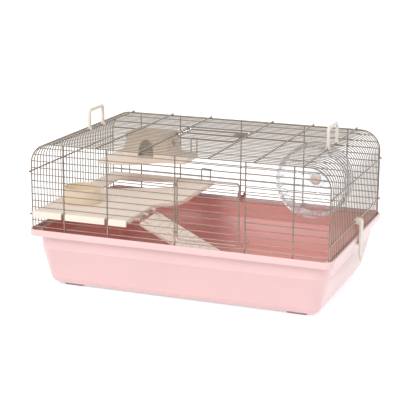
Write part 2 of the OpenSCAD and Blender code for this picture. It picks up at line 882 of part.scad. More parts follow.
module bowl() {
    r = bowl_diameter / 2;
    color(bowl_cream)
        translate([bowl_x, bowl_y, bowl_z])
            rotate_extrude($fn = 96) {
                difference() {
                    polygon([[0, 0], [r - 1, 0], [r, 1], [r - bowl_lip_r - 1, bowl_height - bowl_lip_r],
                        [0, bowl_height - bowl_lip_r]]);
                    polygon([[0, 4], [r - 14, 4], [r - bowl_wall - 6, 8], [r - bowl_wall - 2.5, bowl_height],
                        [0, bowl_height]]);
                }
                translate([r - bowl_lip_r - 2.5, bowl_height - bowl_lip_r]) circle(r = bowl_lip_r);
            }
}

// Places a child that is drawn about the wheel's axis, with +Z towards the back
module on_wheel() {
    translate([wheel_place, wheel_front_y, wheel_z]) rotate([-90, 0, 0]) children();
}

module wheel_rim() {
    color(clear_plastic)
        on_wheel()
            difference() {
                cylinder(r = wheel_r, h = wheel_width, $fn = 96);
                translate([0, 0, wheel_lip]) cylinder(r = wheel_r - wheel_wall, h = wheel_width, $fn = 96);
                translate([0, 0, -1]) cylinder(r = wheel_r - wheel_lip_depth, h = wheel_width, $fn = 96);
            }
}

module wheel_back() {
    color(clear_plastic)
        on_wheel()
            translate([0, 0, wheel_width - wheel_wall])
                difference() {
                    cylinder(r = wheel_r - wheel_wall - rest_gap, h = wheel_wall, $fn = 96);
                    translate([0, 0, -1]) cylinder(r = hub_r + rest_gap, h = wheel_wall + 2);
                    for (turn = [0 : vent_turn : 359], place = vent_places)
                        rotate([0, 0, turn + place]) translate([place, 0, -1])
                            cylinder(r = vent_r, h = wheel_wall + 2);
                }
}

module wheel_treads() {
    color(clear_plastic)
        on_wheel()
            for (k = [0 : tread_count - 1])
                rotate([0, 0, k * 360 / tread_count])
                    translate([tread_reach - tread_depth, -tread_width / 2, wheel_lip + rest_gap])
                    cube([tread_depth, tread_width, wheel_width - wheel_lip - wheel_wall - 2 * rest_gap]);
}

module wheel_hub() {
    color(clear_plastic)
        on_wheel()
            translate([0, 0, wheel_width - hub_length])
                difference() {
                    union() {
                        cylinder(r = hub_r, h = hub_length);
                        translate([0, 0, hub_length - wheel_wall - hub_flange])
                            cylinder(r = hub_flange_r, h = hub_flange - rest_gap);
                    }
                    translate([0, 0, -1]) cylinder(r = axle_r + pivot_play, h = hub_length + 2);
                }
}

module wheel_axle() {
    color(cream)
        on_wheel()
            translate([0, 0, wheel_width - hub_length - 1])
                cylinder(r = axle_r, h = hub_length + 3);
}

module wheel_hub_cap() {
    color(cream)
        on_wheel()
            translate([0, 0, wheel_width - hub_length - 1])
                intersection() {
                    translate([0, 0, cap_dome_r - cap_height - 0.5]) sphere(r = cap_dome_r, $fn = 64);
                    translate([0, 0, -cap_height]) cylinder(r = cap_r, h = cap_height);
                }
}

module wheel_bracket() {
    plate_y = wheel_back_y + 2;
    color(cream)
        difference() {
            union() {
                translate([wheel_place, plate_y, wheel_z]) rotate([-90, 0, 0])
                    linear_extrude(height = bracket_plate)
                        rounded_rectangle(bracket_length, bracket_height, bracket_corner);
                for (k = bracket_rails, side = [-1, 1])
                    translate([wheel_place + side * jaw_place - jaw_length / 2, plate_y + bracket_plate - 1,
                        rail_z(k) - jaw_height / 2])
                        cube([jaw_length, rail_y + thin_r + 2 - plate_y - bracket_plate, jaw_height]);
            }
            for (k = bracket_rails)
                wire_x(wheel_place - bracket_length, wheel_place + bracket_length, rail_y, rail_z(k), thin_r);
        }
}

tray();
tray_feet();
rear_rim_catch();
base_frame();
left_end_wires();
right_end_wires();
roof_wires();
front_corner_arch();
rear_corner_arch();
roof_crossbars();
end_crossbars();
front_rails();
front_uprights();
rear_rails();
rear_uprights();
roof_door_border();
front_door_frame();
front_door_rails();
front_door_hinges();
front_door_latch();
roof_door_frame();
roof_door_wires();
roof_door_hinges();
roof_door_latch();
left_handle();
right_handle();
left_clip();
right_clip();
lower_platform();
platform_hooks();
ramp_rod();
ramp();
ramp_hooks();
upper_shelf();
shelf_hooks();
house_walls();
house_roof();
bowl();
wheel_rim();
wheel_back();
wheel_treads();
wheel_hub();
wheel_axle();
wheel_hub_cap();
wheel_bracket();
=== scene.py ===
"""Looks for a hamster cage: tray, wire top, doors, clips, handles, platforms, house, bowl and wheel."""

import math

import bmesh
import bpy
from bpy.props import FloatProperty, FloatVectorProperty, IntProperty, PointerProperty
from bpy.types import Operator, Panel, PropertyGroup
from mathutils import Matrix, Vector


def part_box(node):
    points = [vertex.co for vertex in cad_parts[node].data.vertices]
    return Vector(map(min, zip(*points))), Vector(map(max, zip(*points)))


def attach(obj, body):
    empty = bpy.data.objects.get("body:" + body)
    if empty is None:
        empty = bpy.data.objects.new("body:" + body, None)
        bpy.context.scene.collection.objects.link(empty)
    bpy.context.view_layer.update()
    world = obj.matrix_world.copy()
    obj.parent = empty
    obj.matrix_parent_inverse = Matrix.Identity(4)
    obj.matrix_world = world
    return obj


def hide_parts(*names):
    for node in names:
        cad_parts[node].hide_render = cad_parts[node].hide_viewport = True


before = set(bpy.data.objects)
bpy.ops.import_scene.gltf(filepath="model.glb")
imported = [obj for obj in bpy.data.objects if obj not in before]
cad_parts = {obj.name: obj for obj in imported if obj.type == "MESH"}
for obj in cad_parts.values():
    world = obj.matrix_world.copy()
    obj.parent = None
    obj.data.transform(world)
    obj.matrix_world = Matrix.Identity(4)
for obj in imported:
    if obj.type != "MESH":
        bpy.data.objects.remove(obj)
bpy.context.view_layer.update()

bl_info = {
    "name": "Hamster cage",
    "version": (1, 0, 0),
    "blender": (4, 5, 0),
    "location": "View3D > Sidebar > Hamster cage",
    "description": "Builds the finished look of a hamster cage round its packed frame",
    "category": "Object",
}

MM = 0.001

TRAY_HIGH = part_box("tray")[1]
PLATFORM_LOW, PLATFORM_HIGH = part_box("lower_platform")
SHELF_LOW, SHELF_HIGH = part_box("upper_shelf")
RAMP_LOW, RAMP_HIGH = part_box("ramp")
HOUSE_LOW, HOUSE_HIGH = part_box("house_walls")
ROOF_LOW, ROOF_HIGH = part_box("house_roof")
BOWL_LOW, BOWL_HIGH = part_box("bowl")
WHEEL_LOW, WHEEL_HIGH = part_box("wheel_rim")
ROD_LOW, ROD_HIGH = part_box("ramp_rod")
FEET_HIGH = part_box("tray_feet")[1]
CATCH_LOW, CATCH_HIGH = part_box("rear_rim_catch")
CROSSBAR_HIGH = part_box("roof_crossbars")[1]
CROSSBAR_RADIUS = 1.9 * MM
EYE_BORE = 1.36 * MM

WIRE_NODES = (
    "base_frame", "left_end_wires", "right_end_wires", "roof_wires", "front_corner_arch", "rear_corner_arch",
    "roof_crossbars", "end_crossbars", "front_rails", "front_uprights", "rear_rails", "rear_uprights",
    "roof_door_border", "front_door_frame", "front_door_rails", "front_door_hinges", "front_door_latch",
    "roof_door_frame", "roof_door_wires", "roof_door_hinges", "roof_door_latch",
    "platform_hooks", "ramp_rod", "ramp_hooks", "shelf_hooks",
)


# --- Settings -------------------------------------------------------------------------------------

def length(name, description, default):
    return FloatProperty(name=name, description=description, default=default, unit="LENGTH", precision=4)


def angle(name, description, degrees):
    return FloatProperty(name=name, description=description, default=math.radians(degrees), subtype="ANGLE")


def colour(name, description, default):
    return FloatVectorProperty(name=name, description=description, default=default, subtype="COLOR",
                               size=3, min=0.0, max=1.0)


class CageSizes(PropertyGroup):
    """Sizes of the moulded pieces"""

    rim_radius: length("Rim corner", "Outer corner radius of the tray's rim", 17 * MM)
    body_radius: length("Body corner", "Body's corner radius, measured from the rim's edge", 44 * MM)
    heel_corner: length("Heel corner", "Smallest corner radius of the tray's body", 12 * MM)
    skirt_height: length("Skirt", "Height of the skirt under the rim", 12 * MM)
    ledge_depth: length("Ledge", "Depth of the wire ledge below the rim", 6 * MM)
    collar_depth: length("Collar", "Depth of the upright collar below the rim", 38 * MM)
    collar_step: length("Collar step", "Step in at the foot of the collar", 1 * MM)
    wall_lean: angle("Wall lean", "Lean of the lower walls", 14)
    heel_round: length("Heel", "Rounding between the walls and the floor", 20 * MM)
    tray_wall: length("Tray wall", "Thickness of the tray's walls", 2.5 * MM)
    plate: length("Plate", "Thickness of the platform, shelf and ramp", 3 * MM)
    plate_edge: length("Plate edge", "Height of the turned-down edge of a plate", 9 * MM)
    edge_round: length("Edge rounding", "Rounding of moulded edges", 1.1 * MM)
    platform_length: length("Platform length", "Width of the platform's front half", 188 * MM)
    platform_step: length("Platform step", "Extra width of the platform's rear half", 38 * MM)
    platform_front: length("Platform front", "Place of the platform's front edge", -173.9 * MM)
    shelf_step: length("Shelf step", "Extra depth of the shelf's wide end", 55 * MM)
    ramp_slope: angle("Ramp slope", "Slope of the ramp", 26)
    house_lean: length("House lean", "How far the house's end walls lean inwards", 12 * MM)
    arc_steps: IntProperty(name="Arc steps", description="Steps in a corner's quarter turn",
                           default=12, min=4, max=24)


class CageColours(PropertyGroup):
    """Colours of the finishes"""

    tray: colour("Tray", "Pastel pink of the tray", (0.87, 0.59, 0.585))
    # Painted shade: the tray's own pink plastic, made deeper and redder where the inside lies in shade
    inside: colour("Tray inside", "Deeper salmon of the tray's inside", (0.83, 0.41, 0.375))
    feet: colour("Feet", "Grey pink of the foot pads", (0.50, 0.36, 0.37))
    # Painted shade: the catch is the tray's pink plastic, dark here because it lies in shade
    catch: colour("Catch", "Deep pink of the rim catch", (0.45, 0.09, 0.13))
    wire: colour("Wire", "Taupe coating of the wires", (0.235, 0.188, 0.145))
    # Painted highlight: the ramp's hooks are wire, lit pale against the dark tray inside
    ramp_wire: colour("Ramp wire", "Pale rosy coating of the ramp's hooks", (0.70, 0.53, 0.45))
    # Painted reflection: the rosy tone the pink tray lends the wires close to it
    wire_tray_reflection: colour("Low wire", "Rosy tone of the wires close to the tray", (0.42, 0.30, 0.25))
    cream: colour("Cream", "Cream of the handles and clips", (0.86, 0.79, 0.69))
    platform: colour("Platform", "Warm cream of the platform, ramp and shelf", (0.94, 0.80, 0.695))
    house: colour("House", "Beige of the house", (0.95, 0.80, 0.65))
    bowl: colour("Bowl", "Sand of the bowl", (0.84, 0.70, 0.53))
    clear: colour("Clear", "Tint of the clear plastic", (0.96, 0.98, 1.0))


class StageSettings(PropertyGroup):
    """Camera, floor and lamps"""

    azimuth: angle("Azimuth", "Camera turn to the right of the front", 20.82)
    elevation: angle("Elevation", "Camera height angle", 14.29)
    roll: angle("Roll", "Camera roll", 0.37)
    distance: length("Distance", "Camera distance from its aim", 2415 * MM)
    lens: FloatProperty(name="Lens", description="Focal length on a 36 mm sensor", default=114.3)
    aim_right: length("Aim right", "Aim's place to the right of the rim's middle", -18.4 * MM)
    aim_up: length("Aim up", "Aim's place above the rim's middle", 37.9 * MM)
    key_power: FloatProperty(name="Key lamp", description="Power of the main soft lamp",
                             default=38.0, unit="POWER")
    fill_power: FloatProperty(name="Fill lamp", description="Power of the fill lamp",
                              default=11.0, unit="POWER")
    sky: FloatProperty(name="Sky", description="Strength of the even light from all round", default=0.74)


def sizes():
    return bpy.context.scene.cage_sizes


def tint(name):
    """A colour of the settings by its name."""
    return tuple(getattr(bpy.context.scene.cage_colours, name))


# --- Shared effects -------------------------------------------------------------------------------

def effect_group(name, inputs, outputs):
    """A shader node group with named float inputs and outputs; returns it and its two end nodes."""
    group = bpy.data.node_groups.new(name, "ShaderNodeTree")
    for label, default in inputs:
        socket = group.interface.new_socket(label, in_out="INPUT", socket_type="NodeSocketFloat")
        socket.default_value = default
    for label in outputs:
        group.interface.new_socket(label, in_out="OUTPUT", socket_type="NodeSocketFloat")
    return group, group.nodes.new("NodeGroupInput"), group.nodes.new("NodeGroupOutput")


def maths(tree, operation, first, second=None):
    node = tree.nodes.new("ShaderNodeMath")
    node.operation = operation
    for socket, value in zip(node.inputs, (first, second)):
        if isinstance(value, (int, float)):
            socket.default_value = value
        elif value is not None:
            tree.links.new(value, socket)
    return node.outputs[0]


def noise(tree, vector, scale, detail=3.0, roughness=0.5, stretch=(1.0, 1.0, 1.0)):
    """Noise on a vector; scale is a number or a socket."""
    if stretch != (1.0, 1.0, 1.0):
        mapping = tree.nodes.new("ShaderNodeMapping")
        mapping.inputs["Scale"].default_value = stretch
        tree.links.new(vector, mapping.inputs["Vector"])
        vector = mapping.outputs[0]
    node = tree.nodes.new("ShaderNodeTexNoise")
    node.inputs["Detail"].default_value = detail
    node.inputs["Roughness"].default_value = roughness
    if isinstance(scale, (int, float)):
        node.inputs["Scale"].default_value = scale
    else:
        tree.links.new(scale, node.inputs["Scale"])
    tree.links.new(vector, node.inputs["Vector"])
    return node.outputs["Fac"]


def remap(tree, value, low, high, to_low=0.0, to_high=1.0):
    node = tree.nodes.new("ShaderNodeMapRange")
    for label, number in zip(("From Min", "From Max", "To Min", "To Max"), (low, high, to_low, to_high)):
        if isinstance(number, (int, float)):
            node.inputs[label].default_value = number
        else:
            tree.links.new(number, node.inputs[label])
    tree.links.new(value, node.inputs["Value"])
    return node.outputs[0]


def mould_texture_group():
    """The skin of a moulded plastic: fine spark texture, slow waviness and faint handling marks."""
    group, start, end = effect_group(
        "mould_texture",
        (("Grain size", 1.0), ("Grain depth", 1.0), ("Scuff amount", 0.5)),
        ("Height", "Scuffs", "Cloud"))
    place = group.nodes.new("ShaderNodeTexCoord").outputs["Object"]
    grain_scale = maths(group, "DIVIDE", 1400.0, start.outputs["Grain size"])
    grain = noise(group, place, grain_scale, detail=2.0, roughness=0.6)
    wave = noise(group, place, 9.0, detail=2.0)
    height = maths(group, "ADD", maths(group, "MULTIPLY", grain, start.outputs["Grain depth"]),
                   maths(group, "MULTIPLY", wave, 0.8))
    group.links.new(height, end.inputs["Height"])
    streaks = noise(group, place, 60.0, detail=6.0, roughness=0.7, stretch=(1.0, 0.35, 2.6))
    scuffs = remap(group, streaks, 0.56, 0.74)
    group.links.new(maths(group, "MULTIPLY", scuffs, start.outputs["Scuff amount"]), end.inputs["Scuffs"])
    cloud = noise(group, place, 5.0, detail=4.0)
    group.links.new(remap(group, cloud, 0.3, 0.7), end.inputs["Cloud"])
    return group


def coating_flow_group():
    """The skin of a dip-coated wire: slow thick and thin runs and a fine orange peel."""
    group, start, end = effect_group(
        "coating_flow", (("Run length", 1.0), ("Peel depth", 1.0)), ("Height", "Thin", "Dust"))
    place = group.nodes.new("ShaderNodeTexCoord").outputs["Object"]
    run_scale = maths(group, "DIVIDE", 45.0, start.outputs["Run length"])
    runs = noise(group, place, run_scale, detail=3.0)
    peel = noise(group, place, 900.0, detail=2.0)
    height = maths(group, "ADD", runs, maths(group, "MULTIPLY", peel, start.outputs["Peel depth"]))
    group.links.new(height, end.inputs["Height"])
    group.links.new(remap(group, runs, 0.42, 0.7), end.inputs["Thin"])
    dust = noise(group, place, 160.0, detail=5.0, roughness=0.7)
    group.links.new(remap(group, dust, 0.55, 0.75), end.inputs["Dust"])
    return group


def effect(name):
    makers = {"mould_texture": mould_texture_group, "coating_flow": coating_flow_group}
    return bpy.data.node_groups.get(name) or makers[name]()


def place_effect(tree, name, **values):
    node = tree.nodes.new("ShaderNodeGroup")
    node.node_tree = effect(name)
    for label, value in values.items():
        node.inputs[label.replace("_", " ")].default_value = value
    return node


def mix_colours(tree, amount, first, second):
    node = tree.nodes.new("ShaderNodeMix")
    node.data_type = "RGBA"
    for socket, value in ((node.inputs[0], amount), (node.inputs[6], first), (node.inputs[7], second)):
        if isinstance(value, bpy.types.NodeSocket):
            tree.links.new(value, socket)
        else:
            socket.default_value = value if isinstance(value, float) else (*value, 1.0)
    return node.outputs[2]


def shade(tone, factor):
    return tuple(min(1.0, channel * factor) for channel in tone)


def blank_material(name):
    """A new material and its Principled shader."""
    material = bpy.data.materials.new(name)
    material.use_nodes = True
    return material, material.node_tree, material.node_tree.nodes["Principled BSDF"]


def connect_bump(tree, shader, height, strength, distance):
    bump = tree.nodes.new("ShaderNodeBump")
    bump.inputs["Strength"].default_value = strength
    bump.inputs["Distance"].default_value = distance
    tree.links.new(height, bump.inputs["Height"])
    tree.links.new(bump.outputs[0], shader.inputs["Normal"])


# --- Finishes -------------------------------------------------------------------------------------

def moulded_plastic(name, tone, gloss, scuffs=0.5, soft=0.0, bump=0.25, coat=0.0):
    """Injection-moulded plastic: clouded colour, spark-eroded grain and faint scuffs that dull it."""
    material = bpy.data.materials.get(name)
    if material:
        return material
    material, tree, shader = blank_material(name)
    skin = place_effect(tree, "mould_texture", Scuff_amount=scuffs)
    clouded = mix_colours(tree, skin.outputs["Cloud"], shade(tone, 0.965), shade(tone, 1.02))
    scuffed = mix_colours(tree, maths(tree, "MULTIPLY", skin.outputs["Scuffs"], 0.25), clouded,
                          tuple(0.5 + 0.5 * channel for channel in tone))
    tree.links.new(scuffed, shader.inputs["Base Color"])
    tree.links.new(remap(tree, skin.outputs["Scuffs"], 0.0, 1.0, gloss, min(1.0, gloss + 0.3)),
                   shader.inputs["Roughness"])
    shader.inputs["Specular IOR Level"].default_value = 0.45
    shader.inputs["Coat Weight"].default_value = coat
    shader.inputs["Coat Roughness"].default_value = 0.18
    shader.inputs["Subsurface Weight"].default_value = soft
    shader.inputs["Subsurface Radius"].default_value = (0.006, 0.003, 0.003)
    connect_bump(tree, shader, skin.outputs["Height"], bump, 0.0002)
    return material


def coated_wire(name, tone, reflected_tone, low, high):
    """Dip-coated steel wire under a satin coat; between two heights its colour goes from a low reflected
    tone, painted reflection of the pink tray and the front light, to its own tone.
    """
    material = bpy.data.materials.get(name)
    if material:
        return material
    material, tree, shader = blank_material(name)
    skin = place_effect(tree, "coating_flow", Run_length=1.0, Peel_depth=0.35)
    place = tree.nodes.new("ShaderNodeSeparateXYZ")
    tree.links.new(tree.nodes.new("ShaderNodeTexCoord").outputs["Object"], place.inputs[0])
    # Painted reflection: the colour fades from the reflected tray pink at the low height to the wire's own
    # tone at the high height
    rise = remap(tree, place.outputs["Z"], low, high)
    tone_with_reflection = mix_colours(tree, rise, reflected_tone, tone)
    run = mix_colours(tree, maths(tree, "MULTIPLY", skin.outputs["Thin"], 0.3), tone_with_reflection, shade(tone, 0.5))
    dusty = mix_colours(tree, maths(tree, "MULTIPLY", skin.outputs["Dust"], 0.12), run, (0.55, 0.5, 0.45))
    tree.links.new(dusty, shader.inputs["Base Color"])
    tree.links.new(remap(tree, skin.outputs["Dust"], 0.0, 1.0, 0.3, 0.55), shader.inputs["Roughness"])
    shader.inputs["Metallic"].default_value = 0.35
    shader.inputs["Coat Weight"].default_value = 0.5
    shader.inputs["Coat Roughness"].default_value = 0.15
    connect_bump(tree, shader, skin.outputs["Height"], 0.3, 0.00012)
    return material


def clear_plastic(name, tone, clearness, haze):
    """Clear or milky moulded plastic with flow waves and fine scratches."""
    material = bpy.data.materials.get(name)
    if material:
        return material
    material, tree, shader = blank_material(name)
    skin = place_effect(tree, "mould_texture", Grain_size=6.0, Grain_depth=0.03, Scuff_amount=0.6)
    clouded = mix_colours(tree, skin.outputs["Cloud"], shade(tone, 0.97), tone)
    tree.links.new(clouded, shader.inputs["Base Color"])
    dulled = remap(tree, skin.outputs["Scuffs"], 0.0, 1.0, haze, haze + 0.25)
    tree.links.new(dulled, shader.inputs["Roughness"])
    shader.inputs["IOR"].default_value = 1.2
    shader.inputs["Transmission Weight"].default_value = clearness
    connect_bump(tree, shader, skin.outputs["Height"], 0.12, 0.0003)
    # Light passes straight through to what stands behind the clear walls
    light_path = tree.nodes.new("ShaderNodeLightPath")
    passing = maths(tree, "MAXIMUM", light_path.outputs["Is Shadow Ray"],
                    light_path.outputs["Is Diffuse Ray"])
    blend = tree.nodes.new("ShaderNodeMixShader")
    tree.links.new(maths(tree, "MULTIPLY", passing, 0.85), blend.inputs[0])
    tree.links.new(shader.outputs[0], blend.inputs[1])
    tree.links.new(tree.nodes.new("ShaderNodeBsdfTransparent").outputs[0], blend.inputs[2])
    tree.links.new(blend.outputs[0], tree.nodes["Material Output"].inputs["Surface"])
    return material


def tray_finish():
    return moulded_plastic("tray_pink", tint("tray"), 0.34, soft=0.05, bump=0.18, coat=0.7)


def cream_finish():
    return moulded_plastic("handle_cream", tint("cream"), 0.38, bump=0.2)


def platform_finish():
    return moulded_plastic("platform_cream", tint("platform"), 0.45, scuffs=0.9, bump=0.35)


# --- Building pieces ------------------------------------------------------------------------------

def finish_piece(name, bm, material, body, replaces=(), crease=35.0):
    """Turns a bmesh into a piece that rides on a body, smooth except at creases."""
    bmesh.ops.remove_doubles(bm, verts=bm.verts, dist=1e-6)
    bmesh.ops.recalc_face_normals(bm, faces=bm.faces)
    mesh = bpy.data.meshes.new(name)
    bm.to_mesh(mesh)
    bm.free()
    for face in mesh.polygons:
        face.use_smooth = True
    mesh.set_sharp_from_angle(angle=math.radians(crease))
    mesh.materials.append(material)
    piece = bpy.data.objects.new(name, mesh)
    bpy.context.scene.collection.objects.link(piece)
    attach(piece, body)
    if replaces:
        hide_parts(*replaces)
    return piece


def dress_node(node, material):
    """Gives a CAD node its finish and keeps its shape."""
    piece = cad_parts[node]
    piece.data.materials.clear()
    piece.data.materials.append(material)


def arc_points(centre, radius, start, turn, steps):
    """Points on an arc in a plane, both ends included; angles in degrees."""
    return [(centre[0] + radius * math.cos(math.radians(start + turn * k / steps)),
             centre[1] + radius * math.sin(math.radians(start + turn * k / steps))) for k in range(steps + 1)]


def circle_points(centre, radius, steps):
    return arc_points(centre, radius, 0, 360, steps)[:-1]


def rounded_rectangle(half_x, half_y, radius, steps):
    """Points round a rounded rectangle about the origin, anticlockwise from its right side."""
    points = []
    for quarter, (side_x, side_y) in enumerate(((1, 1), (-1, 1), (-1, -1), (1, -1))):
        centre = (side_x * (half_x - radius), side_y * (half_y - radius))
        points += arc_points(centre, radius, 90 * quarter, 90, steps)
    return points


def rounded_outline(corners, steps=6):
    """Points of an outline given as (x, y, radius) corners, each rounded by an arc of its radius."""
    points = []
    for k, (x, y, radius) in enumerate(corners):
        corner = Vector((x, y))
        if radius <= 0.0:
            points.append(tuple(corner))
            continue
        to_last = (Vector(corners[k - 1][:2]) - corner).normalized()
        to_next = (Vector(corners[(k + 1) % len(corners)][:2]) - corner).normalized()
        half = to_last.angle(to_next) / 2
        centre = corner + (to_last + to_next).normalized() * radius / math.sin(half)
        first = corner + to_last * radius / math.tan(half) - centre
        last = corner + to_next * radius / math.tan(half) - centre
        start = math.degrees(math.atan2(first.y, first.x))
        turn = (math.degrees(math.atan2(last.y, last.x)) - start + 180) % 360 - 180
        points += arc_points(centre, radius, start, turn, steps)
    return points


def inset_points(points, inset):
    """An anticlockwise outline moved inwards by an inset, or outwards when it is negative."""
    moved = []
    for k, point in enumerate(points):
        here = Vector(point)
        before = (here - Vector(points[k - 1])).normalized()
        after = (Vector(points[(k + 1) % len(points)]) - here).normalized()
        first, second = Vector((-before.y, before.x)), Vector((-after.y, after.x))
        moved.append(tuple(here + (first + second) * inset / (1.0 + first.dot(second))))
    return moved


def at_height(points, z):
    return [(x, y, z) for x, y in points]


def ring_edges(bm, verts):
    """New edges that join vertices in a closed ring."""
    return [bm.edges.new((verts[k - 1], verts[k])) for k in range(len(verts))]


def loop_edges(bm, points):
    """A closed loop of edges through points."""
    return ring_edges(bm, [bm.verts.new(point) for point in points])


def loft(bm, levels):
    """Skins rings of as many points each by extrusion; returns the first and last loops of edges."""
    verts = [bm.verts.new(point) for point in levels[0]]
    first = edges = ring_edges(bm, verts)
    for level in levels[1:]:
        made = bmesh.ops.extrude_edge_only(bm, edges=edges)["geom"]
        fresh = {item for item in made if isinstance(item, bmesh.types.BMVert)}
        verts = [next(edge.other_vert(vert) for edge in vert.link_edges if edge.other_vert(vert) in fresh)
                 for vert in verts]
        for vert, place in zip(verts, level):
            vert.co = place
        edges = [bm.edges.get((verts[k - 1], verts[k])) for k in range(len(verts))]
    return first, edges


def cap(bm, loops):
    """Closes the flat space between an outer loop of edges and any loops of holes in it."""
    if len(loops) == 1:
        bmesh.ops.contextual_create(bm, geom=loops[0])
    else:
        bmesh.ops.triangle_fill(bm, use_beauty=True, edges=[edge for loop in loops for edge in loop])


def edge_arc(z, round_width, rising, steps=3):
    """Inset and height along a rounded edge, from the side up to the top or from the bottom out."""
    path = [(round_width * (1 - math.cos(turn)), z - round_width * (1 - math.sin(turn)))
            for turn in (math.radians(90 * k / steps) for k in range(steps + 1))]
    return path if rising else [(inset, 2 * z - height) for inset, height in reversed(path)]


def join(bm, part, turn=None):
    """Adds one bmesh to another, put in place by a matrix when one is given, and frees it."""
    if turn is not None:
        bmesh.ops.transform(part, matrix=turn, verts=part.verts)
    bmesh.ops.remove_doubles(part, verts=part.verts, dist=1e-6)
    bmesh.ops.recalc_face_normals(part, faces=part.faces)
    holder = bpy.data.meshes.new("holder")
    part.to_mesh(holder)
    part.free()
    bm.from_mesh(holder)
    bpy.data.meshes.remove(holder)


def moulded_plate(bm, outline, holes, low, high, round_width, turn=None, wall=0.0, plate=0.0):
    """A plate with rounded edges and holes between two heights; with a wall it is hollow below."""
    part = bmesh.new()
    profile = edge_arc(low, round_width, False) + edge_arc(high, round_width, True)
    floor_z = low
    if wall > 0.0:
        floor_z = high - plate
        profile = [(wall, floor_z), (wall, low), *profile]
    bottom, top = loft(part, [at_height(inset_points(outline, inset), z) for inset, z in profile])
    tops, bottoms = [top], [bottom]
    hole_round = min(round_width, (high - floor_z) * 0.45)
    hole_profile = edge_arc(floor_z, hole_round, False) + edge_arc(high, hole_round, True)
    for hole in holes:
        bottom, top = loft(part, [at_height(inset_points(hole, -inset), z) for inset, z in hole_profile])
        tops.append(top)
        bottoms.append(bottom)
    cap(part, tops)
    cap(part, bottoms)
    join(bm, part, turn)


def bevelled_box(bm, low, high, width, segments=2, turn=None):
    """A box between two corners with rounded edges."""
    low, high = Vector(low), Vector(high)
    part = bmesh.new()
    shape = Matrix.Translation((low + high) / 2) @ Matrix.Diagonal((*(high - low), 1.0))
    bmesh.ops.create_cube(part, size=1.0, matrix=shape)
    bmesh.ops.bevel(part, geom=part.edges[:], offset=min(width, min(high - low) * 0.45), offset_type="OFFSET",
                    segments=segments, profile=0.5, affect="EDGES", clamp_overlap=True, material=-1)
    join(bm, part, turn)


def turned(bm, profile, turn, steps=96):
    """Spins a closed profile of (radius, height) points about Z and puts it in place."""
    part = bmesh.new()
    verts = [part.verts.new((radius, 0.0, height)) for radius, height in profile]
    bmesh.ops.spin(part, geom=verts + ring_edges(part, verts), cent=(0, 0, 0), axis=(0, 0, 1),
                   angle=math.tau, steps=steps, use_merge=True)
    join(bm, part, turn)


def barrel(bm, inner, outer, half, round_width, turn):
    """A ring with rounded ends about Z, turned into place."""
    profile = [(inner, -half), *[(outer - inset, z) for inset, z in edge_arc(-half, round_width, False)],
               *[(outer - inset, z) for inset, z in edge_arc(half, round_width, True)], (inner, half)]
    turned(bm, profile, turn, 32)


# Turns what stands along Z to lie along Y, and an outline in the XY plane to stand in the YZ plane
ALONG_Y = Matrix.Rotation(-math.pi / 2, 4, "X")
ACROSS_X = Matrix(((0, 0, 1, 0), (1, 0, 0, 0), (0, 1, 0, 0), (0, 0, 0, 1)))


# --- Tray -----------------------------------------------------------------------------------------

def heel(collar_inset, bottom, fillet, settings, steps):
    """Inset and height along the round heel at the foot of the leaning wall."""
    lean = settings.wall_lean
    wall_inset = collar_inset + settings.collar_step
    wall_z = TRAY_HIGH.z - settings.collar_depth - settings.collar_step
    centre_z = bottom + fillet
    centre_inset = wall_inset + ((wall_z - centre_z) * math.sin(lean) + fillet) / math.cos(lean)
    tilt = math.degrees(lean)
    return [(wall_inset, wall_z), *arc_points((centre_inset, centre_z), fillet, 180 + tilt, 90 - tilt, steps)]


